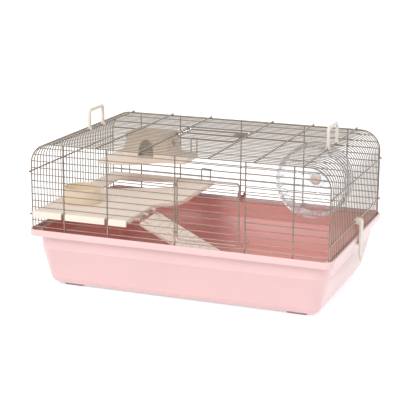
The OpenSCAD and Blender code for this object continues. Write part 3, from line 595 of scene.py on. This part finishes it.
class CAGE_OT_tray(Operator):
    """Lofts the tray through its skirt, lip, ledge, collar, leaning walls and floor, with feet and catch"""

    bl_idname = "cage.tray"
    bl_label = "Tray"

    def execute(self, context):
        self.shell(sizes())
        self.feet()
        self.catch()
        return {"FINISHED"}

    def shell(self, settings):
        half_x, half_y, top = TRAY_HIGH.x, TRAY_HIGH.y, TRAY_HIGH.z
        rim, body = settings.rim_radius, settings.body_radius
        skirt_z = top - settings.skirt_height
        ledge_z = top - settings.ledge_depth
        collar_z = top - settings.collar_depth
        under_z = ledge_z - settings.tray_wall
        floor_z = FEET_HIGH.z + settings.tray_wall

        def level(inset, z, corner):
            round_off = max(corner - inset, min(corner / 2, settings.heel_corner))
            plan = rounded_rectangle(half_x - inset, half_y - inset, round_off, settings.arc_steps)
            return at_height(plan, z)

        # Insets from the rim's edge: the collar's two faces, the skirt's inner face and the lip's
        outer, inner = 12 * MM, 14.5 * MM
        skirt_in, lip_in = 2.4 * MM, 3.2 * MM
        soft = 0.4 * MM
        outer_heel = heel(outer, FEET_HIGH.z, settings.heel_round, settings, 10)
        outside = [level(inset, z, body) for inset, z in reversed(outer_heel)]
        outside += [level(outer + soft, collar_z - soft, body), level(outer, collar_z + 1 * MM, body),
                    level(outer - 0.8 * MM, under_z, body)]
        skirt = [level(skirt_in, under_z, rim), level(skirt_in, skirt_z + soft, rim),
                 level(skirt_in - soft, skirt_z, rim), level(0.5 * MM, skirt_z, rim),
                 level(0.0, skirt_z + 0.5 * MM, rim)]
        lip = [level(inset, z, rim) for inset, z in edge_arc(top, 1.2 * MM, True)]
        lip += [level(lip_in - inset, z, rim) for inset, z in reversed(edge_arc(top, 0.7 * MM, True))]
        ledge = [level(lip_in, ledge_z + 0.5 * MM, rim), level(lip_in + 0.5 * MM, ledge_z, rim),
                 level(inner - 1.4 * MM, ledge_z, body), level(inner - 1 * MM, ledge_z - soft, body),
                 level(inner - 0.1 * MM, collar_z + 1 * MM, body),
                 level(inner + 0.3 * MM, collar_z - soft, body)]
        inner_heel = heel(inner, floor_z, settings.heel_round - settings.tray_wall, settings, 8)
        inside = [level(inset, z, body) for inset, z in inner_heel]
        bm = bmesh.new()
        for loop in loft(bm, outside + skirt + lip + ledge + inside):
            cap(bm, [loop])
        piece = finish_piece("tray_shell", bm, tray_finish(), "tray", ("tray",), 40.0)
        # Second slot: the same plastic in a deeper salmon, painted shade for the inside
        piece.data.materials.append(moulded_plastic("tray_inside", tint("inside"), 0.36, bump=0.18))
        # What looks inwards within the collar has the deeper salmon inside tone: painted shade for the tray's
        # shadowed, pink-lit inside, which is the same plastic as the outside
        for face in piece.data.polygons:
            x, y = face.center.x, face.center.y
            within = abs(x) < half_x - outer and abs(y) < half_y - outer
            looks_in = face.normal.z > 0.5 or x * face.normal.x + y * face.normal.y < 0.0
            face.material_index = int(within and looks_in)

    def feet(self):
        half_x, half_y = 19 * MM, 6 * MM
        centre_x, centre_y = FEET_HIGH.x - half_x, FEET_HIGH.y - half_y
        outline = rounded_rectangle(half_x, half_y, 5 * MM, 6)
        bm = bmesh.new()
        for x in (-centre_x, centre_x):
            for y in (-centre_y, centre_y):
                moulded_plate(bm, outline, (), 0.0, FEET_HIGH.z, 0.7 * MM, Matrix.Translation((x, y, 0.0)))
        finish = moulded_plastic("foot_pink", tint("feet"), 0.6)
        finish_piece("foot_pads", bm, finish, "tray", ("tray_feet",))

    def catch(self):
        bm = bmesh.new()
        low, high = CATCH_LOW, CATCH_HIGH
        notch = (high.x - low.x) / 4
        middle_z = (low.z + high.z) / 2
        ear, soft = 2 * MM, 1.5 * MM
        outline = rounded_outline([
            (low.x, low.z, 0), (high.x, low.z, 0), (high.x, high.z, ear), (high.x - notch, high.z, soft),
            (high.x - notch, middle_z, soft), (low.x + notch, middle_z, soft),
            (low.x + notch, high.z, soft), (low.x, high.z, ear)])
        upright = Matrix.Rotation(math.pi / 2, 4, "X")
        moulded_plate(bm, outline, (), -high.y, -low.y, 0.6 * MM, upright)
        # The catch is moulded in the tray's pink; its deep dark pink is painted shade
        finish = moulded_plastic("catch_pink", tint("catch"), 0.35)
        finish_piece("rim_catch", bm, finish, "tray", ("rear_rim_catch",))


# --- Wire work ------------------------------------------------------------------------------------

class CAGE_OT_wires(Operator):
    """Coats every wire of the top, the doors and the hooks"""

    bl_idname = "cage.wires"
    bl_label = "Wires"

    def execute(self, context):
        # Near the tray the wires fade to a rosy tone: painted reflection of the pink tray and the front light
        finish = coated_wire("wire_coating", tint("wire"), tint("wire_tray_reflection"),
                             TRAY_HIGH.z + 5 * MM, TRAY_HIGH.z + 45 * MM)
        for node in WIRE_NODES:
            dress_node(node, finish)
        # The ramp's hooks get a pale rosy tone all over: painted highlight of the lit wire against the dark
        # tray inside
        pale = tint("ramp_wire")
        dress_node("ramp_hooks", coated_wire("ramp_wire_coating", pale, pale, 0.0, TRAY_HIGH.z))
        return {"FINISHED"}


# --- Handles and clips ----------------------------------------------------------------------------

class CAGE_OT_handles(Operator):
    """Moulds the two carrying handles and the two side clips"""

    bl_idname = "cage.handles"
    bl_label = "Handles and clips"

    def execute(self, context):
        for side in ("left", "right"):
            self.handle(side)
            self.clip(side)
        return {"FINISHED"}

    def handle(self, side):
        low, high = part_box(side + "_handle")
        bar, half, eye, foot = 6 * MM, 2.5 * MM, 4.2 * MM, 2.2 * MM
        inner_round, outer_round, draft = 4.5 * MM, 9 * MM, 0.4 * MM
        middle_x, reach = (low.x + high.x) / 2, high.y
        pivot_z = CROSSBAR_HIGH.z - CROSSBAR_RADIUS
        rise = high.z - pivot_z
        eye_half = reach - bar
        outline = rounded_outline([
            (-reach, foot, 0), (-eye_half, foot, 0), (-eye_half + draft, rise - bar, inner_round),
            (eye_half - draft, rise - bar, inner_round), (eye_half, foot, 0), (reach, foot, 0),
            (reach, rise, outer_round), (-reach, rise, outer_round)], 8)
        place = Matrix.Translation((middle_x, 0.0, pivot_z))
        bm = bmesh.new()
        moulded_plate(bm, outline, (), -half, half, 1.3 * MM, place @ ACROSS_X)
        for end in (-1, 1):
            turn = place @ Matrix.Translation((0.0, end * (reach - bar / 2), 0.0)) @ ALONG_Y
            barrel(bm, EYE_BORE, eye, bar / 2, 0.8 * MM, turn)
        # Finger ribs under the grip
        rib_half, rib_gap, rib_z = 1.1 * MM, 4.5 * MM, high.z - bar
        for step in range(-4, 5):
            y = step * rib_gap
            bevelled_box(bm, (middle_x - half + 1 * MM, y - rib_half, rib_z - 0.4 * MM),
                         (middle_x + half - 1 * MM, y + rib_half, rib_z + 1 * MM), 0.4 * MM)
        finish_piece(side + "_handle_moulding", bm, cream_finish(), side + "_handle", (side + "_handle",))

    def clip(self, side):
        low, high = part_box(side + "_clip")
        sign = 1 if side == "right" else -1
        outer = max(abs(low.x), abs(high.x))
        half = high.y
        eye, eye_y, strap, flare, nose = 5 * MM, 5.9235 * MM, 3.4 * MM, 3 * MM, 4.2 * MM
        pivot_x = outer - 13.8 * MM
        pivot_z = high.z - eye
        face = outer - flare - pivot_x
        back = face - strap
        tail = low.z - pivot_z
        tail_bend = tail + 12 * MM
        skirt_z = TRAY_HIGH.z - sizes().skirt_height - 0.6 * MM - pivot_z
        outline = rounded_outline([
            (2.4 * MM, 4 * MM, 0), (2.4 * MM, -4 * MM, 0), (back, -6 * MM, 2 * MM),
            (back, skirt_z, 0.4 * MM), (back - nose, skirt_z, 0.5 * MM),
            (back - nose, skirt_z - 2 * MM, 0.6 * MM), (back, skirt_z - 5 * MM, 1 * MM),
            (back, tail_bend, 6 * MM), (face, tail, 0.6 * MM), (outer - pivot_x, tail, 0.8 * MM),
            (face, tail_bend, 6 * MM), (face, 0, 2 * MM), (face - 3 * MM, 4 * MM, 3 * MM)], 5)
        upright = Matrix(((sign, 0, 0, 0), (0, 0, 1, 0), (0, 1, 0, 0), (0, 0, 0, 1)))
        place = Matrix.Translation((sign * pivot_x, 0.0, pivot_z))
        bm = bmesh.new()
        moulded_plate(bm, outline, (), -half, half, 0.35 * MM, place @ upright)
        for end in (-1, 1):
            turn = place @ Matrix.Translation((0.0, end * eye_y, 0.0)) @ ALONG_Y
            barrel(bm, EYE_BORE, eye, min(2.5 * MM, half - eye_y + 0.4 * MM), 0.5 * MM, turn)
        finish_piece(side + "_clip_moulding", bm, cream_finish(), side + "_clip", (side + "_clip",))


# --- Platform, shelf and ramp ---------------------------------------------------------------------

def s_outline(left, right, front, back, step, bend_y, bend, corner):
    """A plate whose right side swings outwards by step in an S bend between bend_y and bend_y + 2 * bend."""
    arc = ((step / 2) ** 2 + bend ** 2) / step
    swing = math.degrees(math.atan2(bend, arc - step / 2))
    hollow = arc_points((right + arc, bend_y), arc, 180, -swing, 14)
    bulge = arc_points((right + step - arc, bend_y + 2 * bend), arc, -swing, swing, 14)
    corners = [(left, front, corner), (right, front, corner)]
    corners += [(x, y, 0) for x, y in hollow + bulge[1:]]
    corners += [(right + step, back, corner), (left, back, corner)]
    return rounded_outline(corners, 5)


class CAGE_OT_platforms(Operator):
    """Moulds the lower platform, the upper shelf and the ramp"""

    bl_idname = "cage.platforms"
    bl_label = "Platforms"

    def execute(self, context):
        settings = sizes()
        self.platform(settings)
        self.shelf(settings)
        self.ramp(settings)
        return {"FINISHED"}

    def platform(self, settings):
        left, back, top = PLATFORM_LOW.x, PLATFORM_HIGH.y, PLATFORM_HIGH.z
        right, front = left + settings.platform_length, settings.platform_front
        outline = s_outline(left, right, front, back, settings.platform_step, front + 107.9 * MM,
                            38 * MM, 3 * MM)
        hole_left, hole_right = left + 40 * MM, right - 22 * MM
        hole = rounded_outline([
            (hole_left, 18 * MM, 9 * MM), (hole_right, 86 * MM, 12 * MM),
            (hole_right, 134 * MM, 12 * MM), (hole_left, 112 * MM, 14 * MM)], 8)
        bm = bmesh.new()
        edge, plate = settings.plate_edge, settings.plate
        moulded_plate(bm, outline, (hole,), top - edge, top, settings.edge_round, None, plate, plate)
        # The front lip is open where it passes the two uprights
        lip_back = PLATFORM_LOW.y + plate
        for start, end in ((left, -222 * MM), (-214 * MM, -135 * MM), (-127 * MM, right)):
            lip = rounded_outline([
                (front + 1 * MM, top - plate, 0), (front + 1 * MM, top, 0), (PLATFORM_LOW.y, top, 2.4 * MM),
                (PLATFORM_LOW.y, PLATFORM_LOW.z, 0.8 * MM), (lip_back, PLATFORM_LOW.z, 0.8 * MM),
                (lip_back, top - plate, 1.2 * MM)], 5)
            moulded_plate(bm, lip, (), start, end, 0.4 * MM, ACROSS_X)
        # Lugs that carry the ramp's rod
        lug, (rod_x, rod_y, rod_z) = 6 * MM, (ROD_LOW + ROD_HIGH) / 2
        for y in (ROD_LOW.y + 5 * MM, rod_y, ROD_HIGH.y - 5 * MM):
            place = Matrix.Translation((rod_x, y, rod_z)) @ ALONG_Y
            barrel(bm, 1.5 * MM, lug / 2, lug / 2, 0.4 * MM, place)
            bevelled_box(bm, (right - 0.8 * MM, y - lug / 2, rod_z - 2.9 * MM),
                         (rod_x - 1.7 * MM, y + lug / 2, rod_z + 2.9 * MM), 0.5 * MM)
        finish_piece("platform_moulding", bm, platform_finish(), "wire_top", ("lower_platform",))

    def shelf(self, settings):
        right, back = SHELF_HIGH.x, SHELF_HIGH.y
        depth = back - SHELF_LOW.y - settings.shelf_step
        plan = s_outline(-back, -back + depth, -right, -SHELF_LOW.x, settings.shelf_step,
                         -right + 20 * MM, 55 * MM, 3 * MM)
        outline = [(-y, -x) for x, y in reversed(plan)]
        bm = bmesh.new()
        moulded_plate(bm, outline, (), SHELF_LOW.z, SHELF_HIGH.z, settings.edge_round, None,
                      settings.plate, settings.plate)
        finish_piece("shelf_moulding", bm, platform_finish(), "wire_top", ("upper_shelf",))

    def ramp(self, settings):
        rod_x, rod_z = (ROD_LOW.x + ROD_HIGH.x) / 2, (ROD_LOW.z + ROD_HIGH.z) / 2
        slope = settings.ramp_slope
        place = Matrix.Translation((rod_x, 0.0, rod_z)) @ Matrix.Rotation(slope, 4, "Y")
        start, drop, thick = 6 * MM, 4 * MM, 3 * MM
        end = (RAMP_HIGH.x - rod_x - (thick - drop) * math.sin(slope)) / math.cos(slope)
        front, back = RAMP_LOW.y, RAMP_HIGH.y
        outline = rounded_outline([(start, front, 2 * MM), (end, front, 5 * MM), (end, back, 5 * MM),
                                   (start, back, 2 * MM)])
        bm = bmesh.new()
        moulded_plate(bm, outline, (), -drop, thick - drop, 0.9 * MM, place)
        for y in (front, back - thick):
            bevelled_box(bm, (start + 0.5 * MM, y + 0.2 * MM, -drop - 3 * MM),
                         (end - 12 * MM, y + thick - 0.4 * MM, -drop + 0.5 * MM), 0.7 * MM, 2, place)
        top = thick - drop
        rung_gap, rung_width, rung_inset = 12 * MM, 2.5 * MM, 5 * MM
        for k in range(1, int((end - start) / rung_gap)):
            x = start + rung_gap * k
            bevelled_box(bm, (x, front + rung_inset, top - 1 * MM),
                         (x + rung_width, back - rung_inset, top + 0.95 * MM), 0.8 * MM, 3, place)
        finish_piece("ramp_moulding", bm, platform_finish(), "ramp", ("ramp",))


# --- House and bowl -------------------------------------------------------------------------------

class CAGE_OT_house(Operator):
    """Moulds the sleeping house with its arched doorway and round window, and its roof"""

    bl_idname = "cage.house"
    bl_label = "House"

    def execute(self, context):
        finish = moulded_plastic("house_beige", tint("house"), 0.5, scuffs=0.8)
        self.walls(finish, sizes().house_lean)
        self.roof(finish)
        return {"FINISHED"}

    def walls(self, finish, lean):
        """Cuts the openings in a flat strip, folds it round the tapered plan and gives it thickness."""
        half_x, half_y = (HOUSE_HIGH.x - HOUSE_LOW.x) / 2, (HOUSE_HIGH.y - HOUSE_LOW.y) / 2
        height = HOUSE_HIGH.z - HOUSE_LOW.z
        corner = 5 * MM
        turn_length = corner * math.pi / 2
        flat_x, flat_y = 2 * (half_x - corner), 2 * (half_y - corner)
        total = 2 * (flat_x + flat_y) + 4 * turn_length
        door, door_half, door_side = flat_x / 2, 17 * MM, 16 * MM
        window, window_radius = (flat_x + turn_length + flat_y / 2, 25.2 * MM), 8 * MM
        thickness, turn_cuts = 2.4 * MM, 4
        arch = arc_points((door, door_side), door_half, 180, -180, 20)
        strip = [(0.0, 0.0), (door - door_half, 0.0), *arch, (door + door_half, 0.0), (total, 0.0),
                 (total, height), (0.0, height)]
        pane = circle_points(window, window_radius, 28)
        part = bmesh.new()
        cap(part, [loop_edges(part, at_height(points, 0.0)) for points in (strip, pane)])
        starts = [0.0]
        for flat in (flat_x, flat_y, flat_x, flat_y):
            starts += [starts[-1] + flat + turn_length * k / turn_cuts for k in range(turn_cuts + 1)]
        for cut in starts[1:-1]:
            bmesh.ops.bisect_plane(part, geom=part.verts[:] + part.edges[:] + part.faces[:], dist=1e-7,
                                   plane_co=(cut, 0.0, 0.0), plane_no=(1.0, 0.0, 0.0))
        middle = (HOUSE_LOW + HOUSE_HIGH) / 2
        middle.z = HOUSE_LOW.z
        for vert in part.verts:
            x, y = self.folded(vert.co.x, half_x, half_y, corner)
            share = vert.co.y / height
            vert.co = middle + Vector((x * (1 - share * lean / half_x), y * (1 - share * lean / 2 / half_y),
                                       vert.co.y))
        bmesh.ops.remove_doubles(part, verts=part.verts, dist=1e-6)
        bmesh.ops.recalc_face_normals(part, faces=part.faces)
        bmesh.ops.solidify(part, geom=part.faces[:], thickness=thickness)
        bm = bmesh.new()
        join(bm, part)
        finish_piece("house_moulding", bm, finish, "house", ("house_walls",))

    def folded(self, along, half_x, half_y, corner):
        """Plan place of a point this far along the strip, which starts at the left of the front."""
        sides = ((1, 0, -half_x + corner, -half_y), (0, 1, half_x, -half_y + corner),
                 (-1, 0, half_x - corner, half_y), (0, -1, -half_x, half_y - corner))
        turn_length = corner * math.pi / 2
        for k, (step_x, step_y, x, y) in enumerate(sides):
            flat = 2 * ((half_x if step_x else half_y) - corner)
            if along <= flat + 1e-7:
                return x + step_x * along, y + step_y * along
            along -= flat
            if along <= turn_length + 1e-7:
                angle = along / corner - math.pi / 2 + k * math.pi / 2
                centre_x = (half_x - corner) * (1 if k in (0, 1) else -1)
                centre_y = (half_y - corner) * (1 if k in (1, 2) else -1)
                return centre_x + corner * math.cos(angle), centre_y + corner * math.sin(angle)
            along -= turn_length
        return sides[0][2], sides[0][3]

    def roof(self, finish):
        half_x, half_y = (ROOF_HIGH.x - ROOF_LOW.x) / 2, (ROOF_HIGH.y - ROOF_LOW.y) / 2
        middle_x, middle_y = ((ROOF_LOW + ROOF_HIGH) / 2).xy
        bm = bmesh.new()
        outline = rounded_rectangle(half_x, half_y, 6 * MM, 8)
        moulded_plate(bm, outline, (), ROOF_LOW.z, ROOF_HIGH.z, 1.3 * MM,
                      Matrix.Translation((middle_x, middle_y, 0.0)))
        finish_piece("house_roof_moulding", bm, finish, "house", ("house_roof",))


class CAGE_OT_bowl(Operator):
    """Turns the food bowl"""

    bl_idname = "cage.bowl"
    bl_label = "Bowl"

    def execute(self, context):
        r, height = (BOWL_HIGH.x - BOWL_LOW.x) / 2, BOWL_HIGH.z - BOWL_LOW.z
        lip = arc_points((r - 4 * MM, height - 1.5 * MM), 1.5 * MM, 0, 180, 8)
        well = arc_points((r - 15 * MM, 9.2 * MM), 5.2 * MM, 0, -90, 6)
        profile = [(0.1 * MM, 0.8 * MM), (r - 7 * MM, 0.8 * MM), (r - 6.4 * MM, 0.0), (r - 1 * MM, 0.0),
                   (r - 0.2 * MM, 0.4 * MM), (r, 1.2 * MM), *lip, *well, (0.1 * MM, 4 * MM)]
        middle = (BOWL_LOW + BOWL_HIGH) / 2
        place = Matrix.Translation((middle.x, middle.y, BOWL_LOW.z))
        bm = bmesh.new()
        turned(bm, profile, place, 96)
        finish = moulded_plastic("bowl_sand", tint("bowl"), 0.3)
        finish_piece("bowl_moulding", bm, finish, "bowl", ("bowl",), 40.0)
        return {"FINISHED"}


# --- Wheel ----------------------------------------------------------------------------------------

class CAGE_OT_wheel(Operator):
    """Builds the clear running wheel with its drum, treads, vented back and hub, on its axle and bracket"""

    bl_idname = "cage.wheel"
    bl_label = "Wheel"

    def execute(self, context):
        clear = clear_plastic("wheel_clear", tint("clear"), 0.94, 0.03)
        milky = clear_plastic("wheel_milky", tint("clear"), 0.8, 0.08)
        middle = (WHEEL_LOW + WHEEL_HIGH) / 2
        place = Matrix.Translation((middle.x, WHEEL_LOW.y, middle.z)) @ ALONG_Y
        radius, width = (WHEEL_HIGH.x - WHEEL_LOW.x) / 2, WHEEL_HIGH.y - WHEEL_LOW.y
        wall = 2.4 * MM
        inside = radius - wall - 0.1 * MM
        self.drum(milky, place, radius, width, wall)
        self.back(clear, place, inside, width, wall)
        self.treads(milky, place, inside, width, wall)
        self.hub(clear, place, width, wall)
        self.fixings(clear, place)
        return {"FINISHED"}

    def drum(self, clear, place, radius, width, wall):
        """Turns a profile that runs from the rolled front lip to the back edge and returns outside."""
        lip, lip_depth, soft = 3 * MM, 7 * MM, 0.8 * MM
        inner = radius - wall
        lip_x = radius - lip_depth
        profile = [(lip_x + soft - x, z) for x, z in arc_points((0.0, soft), soft, -90, 90, 3)]
        profile[3:3] = [(lip_x, lip - soft), (lip_x + soft, lip)]
        profile += [(inner - 1 * MM, lip), (inner - 0.3 * MM, lip + 0.3 * MM), (inner, lip + 1 * MM),
                    (inner, width - 0.4 * MM), (inner + 0.4 * MM, width), (radius - 0.5 * MM, width),
                    (radius, width - 0.5 * MM)]
        profile += [(radius - inset, z) for inset, z in reversed(edge_arc(0.0, soft, False))]
        bm = bmesh.new()
        turned(bm, profile, place, 128)
        finish_piece("wheel_drum", bm, clear, "wheel", ("wheel_rim",))

    def back(self, clear, place, radius, width, wall):
        """The disc has twelve swirls of three vents, each turned a degree further per mm of its reach."""
        swirls, vent, hub_hole = 12, 3 * MM, 9.1 * MM
        outline = circle_points((0.0, 0.0), radius, 96)
        holes = [circle_points((0.0, 0.0), hub_hole, 32)]
        for swirl in range(swirls):
            for reach in (28, 42, 56):
                turn = math.radians(360 / swirls * swirl + reach)
                centre = (reach * MM * math.cos(turn), reach * MM * math.sin(turn))
                holes.append(circle_points(centre, vent, 14))
        bm = bmesh.new()
        moulded_plate(bm, outline, holes, width - wall, width, 0.4 * MM, place)
        finish_piece("wheel_disc", bm, clear, "wheel", ("wheel_back",))

    def treads(self, clear, place, reach, width, wall):
        count, height, half = 24, 2 * MM, 1 * MM
        bm = bmesh.new()
        for k in range(count):
            turn = place @ Matrix.Rotation(math.tau * k / count, 4, "Z")
            bevelled_box(bm, (reach - height, -half, 3.2 * MM), (reach, half, width - wall - 0.2 * MM),
                         0.5 * MM, 2, turn)
        finish_piece("wheel_tread_bars", bm, clear, "wheel", ("wheel_treads",))

    def hub(self, clear, place, width, wall):
        hub, flange, bore, soft = 9 * MM, 18 * MM, 4.06 * MM, 0.8 * MM
        start, base = width - 16 * MM, width - wall
        flange_z, seat_z = base - 2.6 * MM, base - 0.1 * MM
        profile = [(bore, start), (hub - soft, start), (hub, start + soft), (hub, base - 4 * MM),
                   (hub + 1.4 * MM, flange_z), (flange - soft, flange_z), (flange, flange_z + soft),
                   (flange, seat_z), (hub, seat_z), (hub, width), (bore, width)]
        bm = bmesh.new()
        turned(bm, profile, place, 64)
        finish_piece("wheel_hub_moulding", bm, clear, "wheel", ("wheel_hub",))

    def fixings(self, clear, place):
        """Turns the domed cap and dresses the axle and the bracket."""
        low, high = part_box("wheel_hub_cap")
        radius, height = (high.x - low.x) / 2, high.y - low.y
        start = low.y - WHEEL_LOW.y
        dimple_z = start + 0.6 * MM
        dome = ((4.6 * MM, 0.0), (3.2 * MM, 0.35 * MM), (1.6 * MM, 1.3 * MM), (0.5 * MM, 2.6 * MM),
                (0.0, height - 0.6 * MM), (0.5 * MM, height))
        profile = [(0.1 * MM, dimple_z), (3.2 * MM, dimple_z), (3.8 * MM, start)]
        profile += [(radius - inset, start + z) for inset, z in dome]
        profile.append((0.1 * MM, start + height))
        bm = bmesh.new()
        turned(bm, profile, place, 64)
        finish_piece("wheel_cap", bm, cream_finish(), "wire_top", ("wheel_hub_cap",))
        dress_node("wheel_axle", cream_finish())
        dress_node("wheel_bracket", clear)


# --- Stage ----------------------------------------------------------------------------------------

def seen_rays(tree):
    """One where the camera, a gloss or clear plastic sees the surface, and nought where it only lights."""
    rays = tree.nodes.new("ShaderNodeLightPath").outputs
    through = maths(tree, "MAXIMUM", rays["Is Glossy Ray"], rays["Is Transmission Ray"])
    return maths(tree, "MAXIMUM", rays["Is Camera Ray"], through)


class CAGE_OT_stage(Operator):
    """Sets up the camera, the pale floor, the soft lamps and the even white surroundings"""

    bl_idname = "cage.stage"
    bl_label = "Stage"

    def execute(self, context):
        self.camera(context.scene.cage_stage)
        self.floor()
        self.surroundings(context.scene.cage_stage.sky)
        self.lamps(context.scene.cage_stage)
        context.scene.view_settings.view_transform = "Standard"
        return {"FINISHED"}

    def camera(self, settings):
        azimuth, elevation = settings.azimuth, settings.elevation
        back = Vector((math.sin(azimuth) * math.cos(elevation), -math.cos(azimuth) * math.cos(elevation),
                       math.sin(elevation)))
        side = Vector((math.cos(azimuth), math.sin(azimuth), 0.0))
        up = back.cross(side)
        right = side * math.cos(settings.roll) + up * math.sin(settings.roll)
        up = up * math.cos(settings.roll) - side * math.sin(settings.roll)
        aim = Vector((0, 0, TRAY_HIGH.z)) + right * settings.aim_right + up * settings.aim_up
        camera = bpy.data.objects.new("camera", bpy.data.cameras.new("camera"))
        camera.data.lens = settings.lens
        camera.data.sensor_width = 36.0
        camera.data.clip_end = 20.0
        turn = Matrix((right, up, back)).transposed().to_4x4()
        camera.matrix_world = Matrix.Translation(aim + back * settings.distance) @ turn
        bpy.context.scene.collection.objects.link(camera)
        bpy.context.scene.camera = camera

    def floor(self):
        bm = bmesh.new()
        bmesh.ops.create_grid(bm, x_segments=1, y_segments=1, size=6.0)
        mesh = bpy.data.meshes.new("floor")
        bm.to_mesh(mesh)
        bm.free()
        floor = bpy.data.objects.new("floor", mesh)
        bpy.context.scene.collection.objects.link(floor)
        material, tree, shader = blank_material("floor_white")
        shader.inputs["Base Color"].default_value = (0.93, 0.93, 0.93, 1.0)
        shader.inputs["Roughness"].default_value = 0.9
        shader.inputs["Emission Color"].default_value = (1.0, 1.0, 1.0, 1.0)
        tree.links.new(maths(tree, "MULTIPLY", seen_rays(tree), 0.5), shader.inputs["Emission Strength"])
        floor.data.materials.append(material)

    def surroundings(self, strength):
        world = bpy.data.worlds.new("studio")
        bpy.context.scene.world = world
        world.use_nodes = True
        tree = world.node_tree
        background = tree.nodes["Background"]
        background.inputs["Color"].default_value = (1.0, 1.0, 1.0, 1.0)
        strengths = remap(tree, seen_rays(tree), 0.0, 1.0, strength, 1.0)
        tree.links.new(strengths, background.inputs["Strength"])

    def lamps(self, settings):
        lamps = (("key", (-0.9, -2.2, 2.3), 1.6, settings.key_power),
                 ("fill", (2.4, -1.4, 1.5), 1.8, settings.fill_power))
        cage_middle = Vector((0.0, 0.0, 0.12))
        for name, place, size, power in lamps:
            lamp = bpy.data.lights.new(name, "AREA")
            lamp.size = size
            lamp.energy = power
            holder = bpy.data.objects.new(name, lamp)
            holder.location = place
            aim = cage_middle - Vector(place)
            holder.rotation_euler = aim.to_track_quat("-Z", "Y").to_euler()
            bpy.context.scene.collection.objects.link(holder)


# --- Panel and start ------------------------------------------------------------------------------

class CAGE_PT_builder(Panel):
    """Lists the cage's pieces and their settings"""

    bl_idname = "CAGE_PT_builder"
    bl_label = "Hamster cage"
    bl_space_type = "VIEW_3D"
    bl_region_type = "UI"
    bl_category = "Hamster cage"

    def draw(self, context):
        layout = self.layout
        for group in (context.scene.cage_sizes, context.scene.cage_colours, context.scene.cage_stage):
            box = layout.box()
            for name in group.__annotations__:
                box.prop(group, name)
        for operator in PIECE_OPERATORS:
            layout.operator(operator.bl_idname)


PIECE_OPERATORS = (CAGE_OT_stage, CAGE_OT_tray, CAGE_OT_wires, CAGE_OT_handles, CAGE_OT_platforms,
                   CAGE_OT_house, CAGE_OT_bowl, CAGE_OT_wheel)
CLASSES = (CageSizes, CageColours, StageSettings, *PIECE_OPERATORS, CAGE_PT_builder)


def register():
    for cls in CLASSES:
        bpy.utils.register_class(cls)
    bpy.types.Scene.cage_sizes = PointerProperty(type=CageSizes)
    bpy.types.Scene.cage_colours = PointerProperty(type=CageColours)
    bpy.types.Scene.cage_stage = PointerProperty(type=StageSettings)


def unregister():
    del bpy.types.Scene.cage_sizes
    del bpy.types.Scene.cage_colours
    del bpy.types.Scene.cage_stage
    for cls in reversed(CLASSES):
        bpy.utils.unregister_class(cls)


def main():
    register()
    bpy.ops.cage.stage()
    bpy.ops.cage.tray()
    bpy.ops.cage.wires()
    bpy.ops.cage.handles()
    bpy.ops.cage.platforms()
    bpy.ops.cage.house()
    bpy.ops.cage.bowl()
    bpy.ops.cage.wheel()


if __name__ == "__main__":
    main()
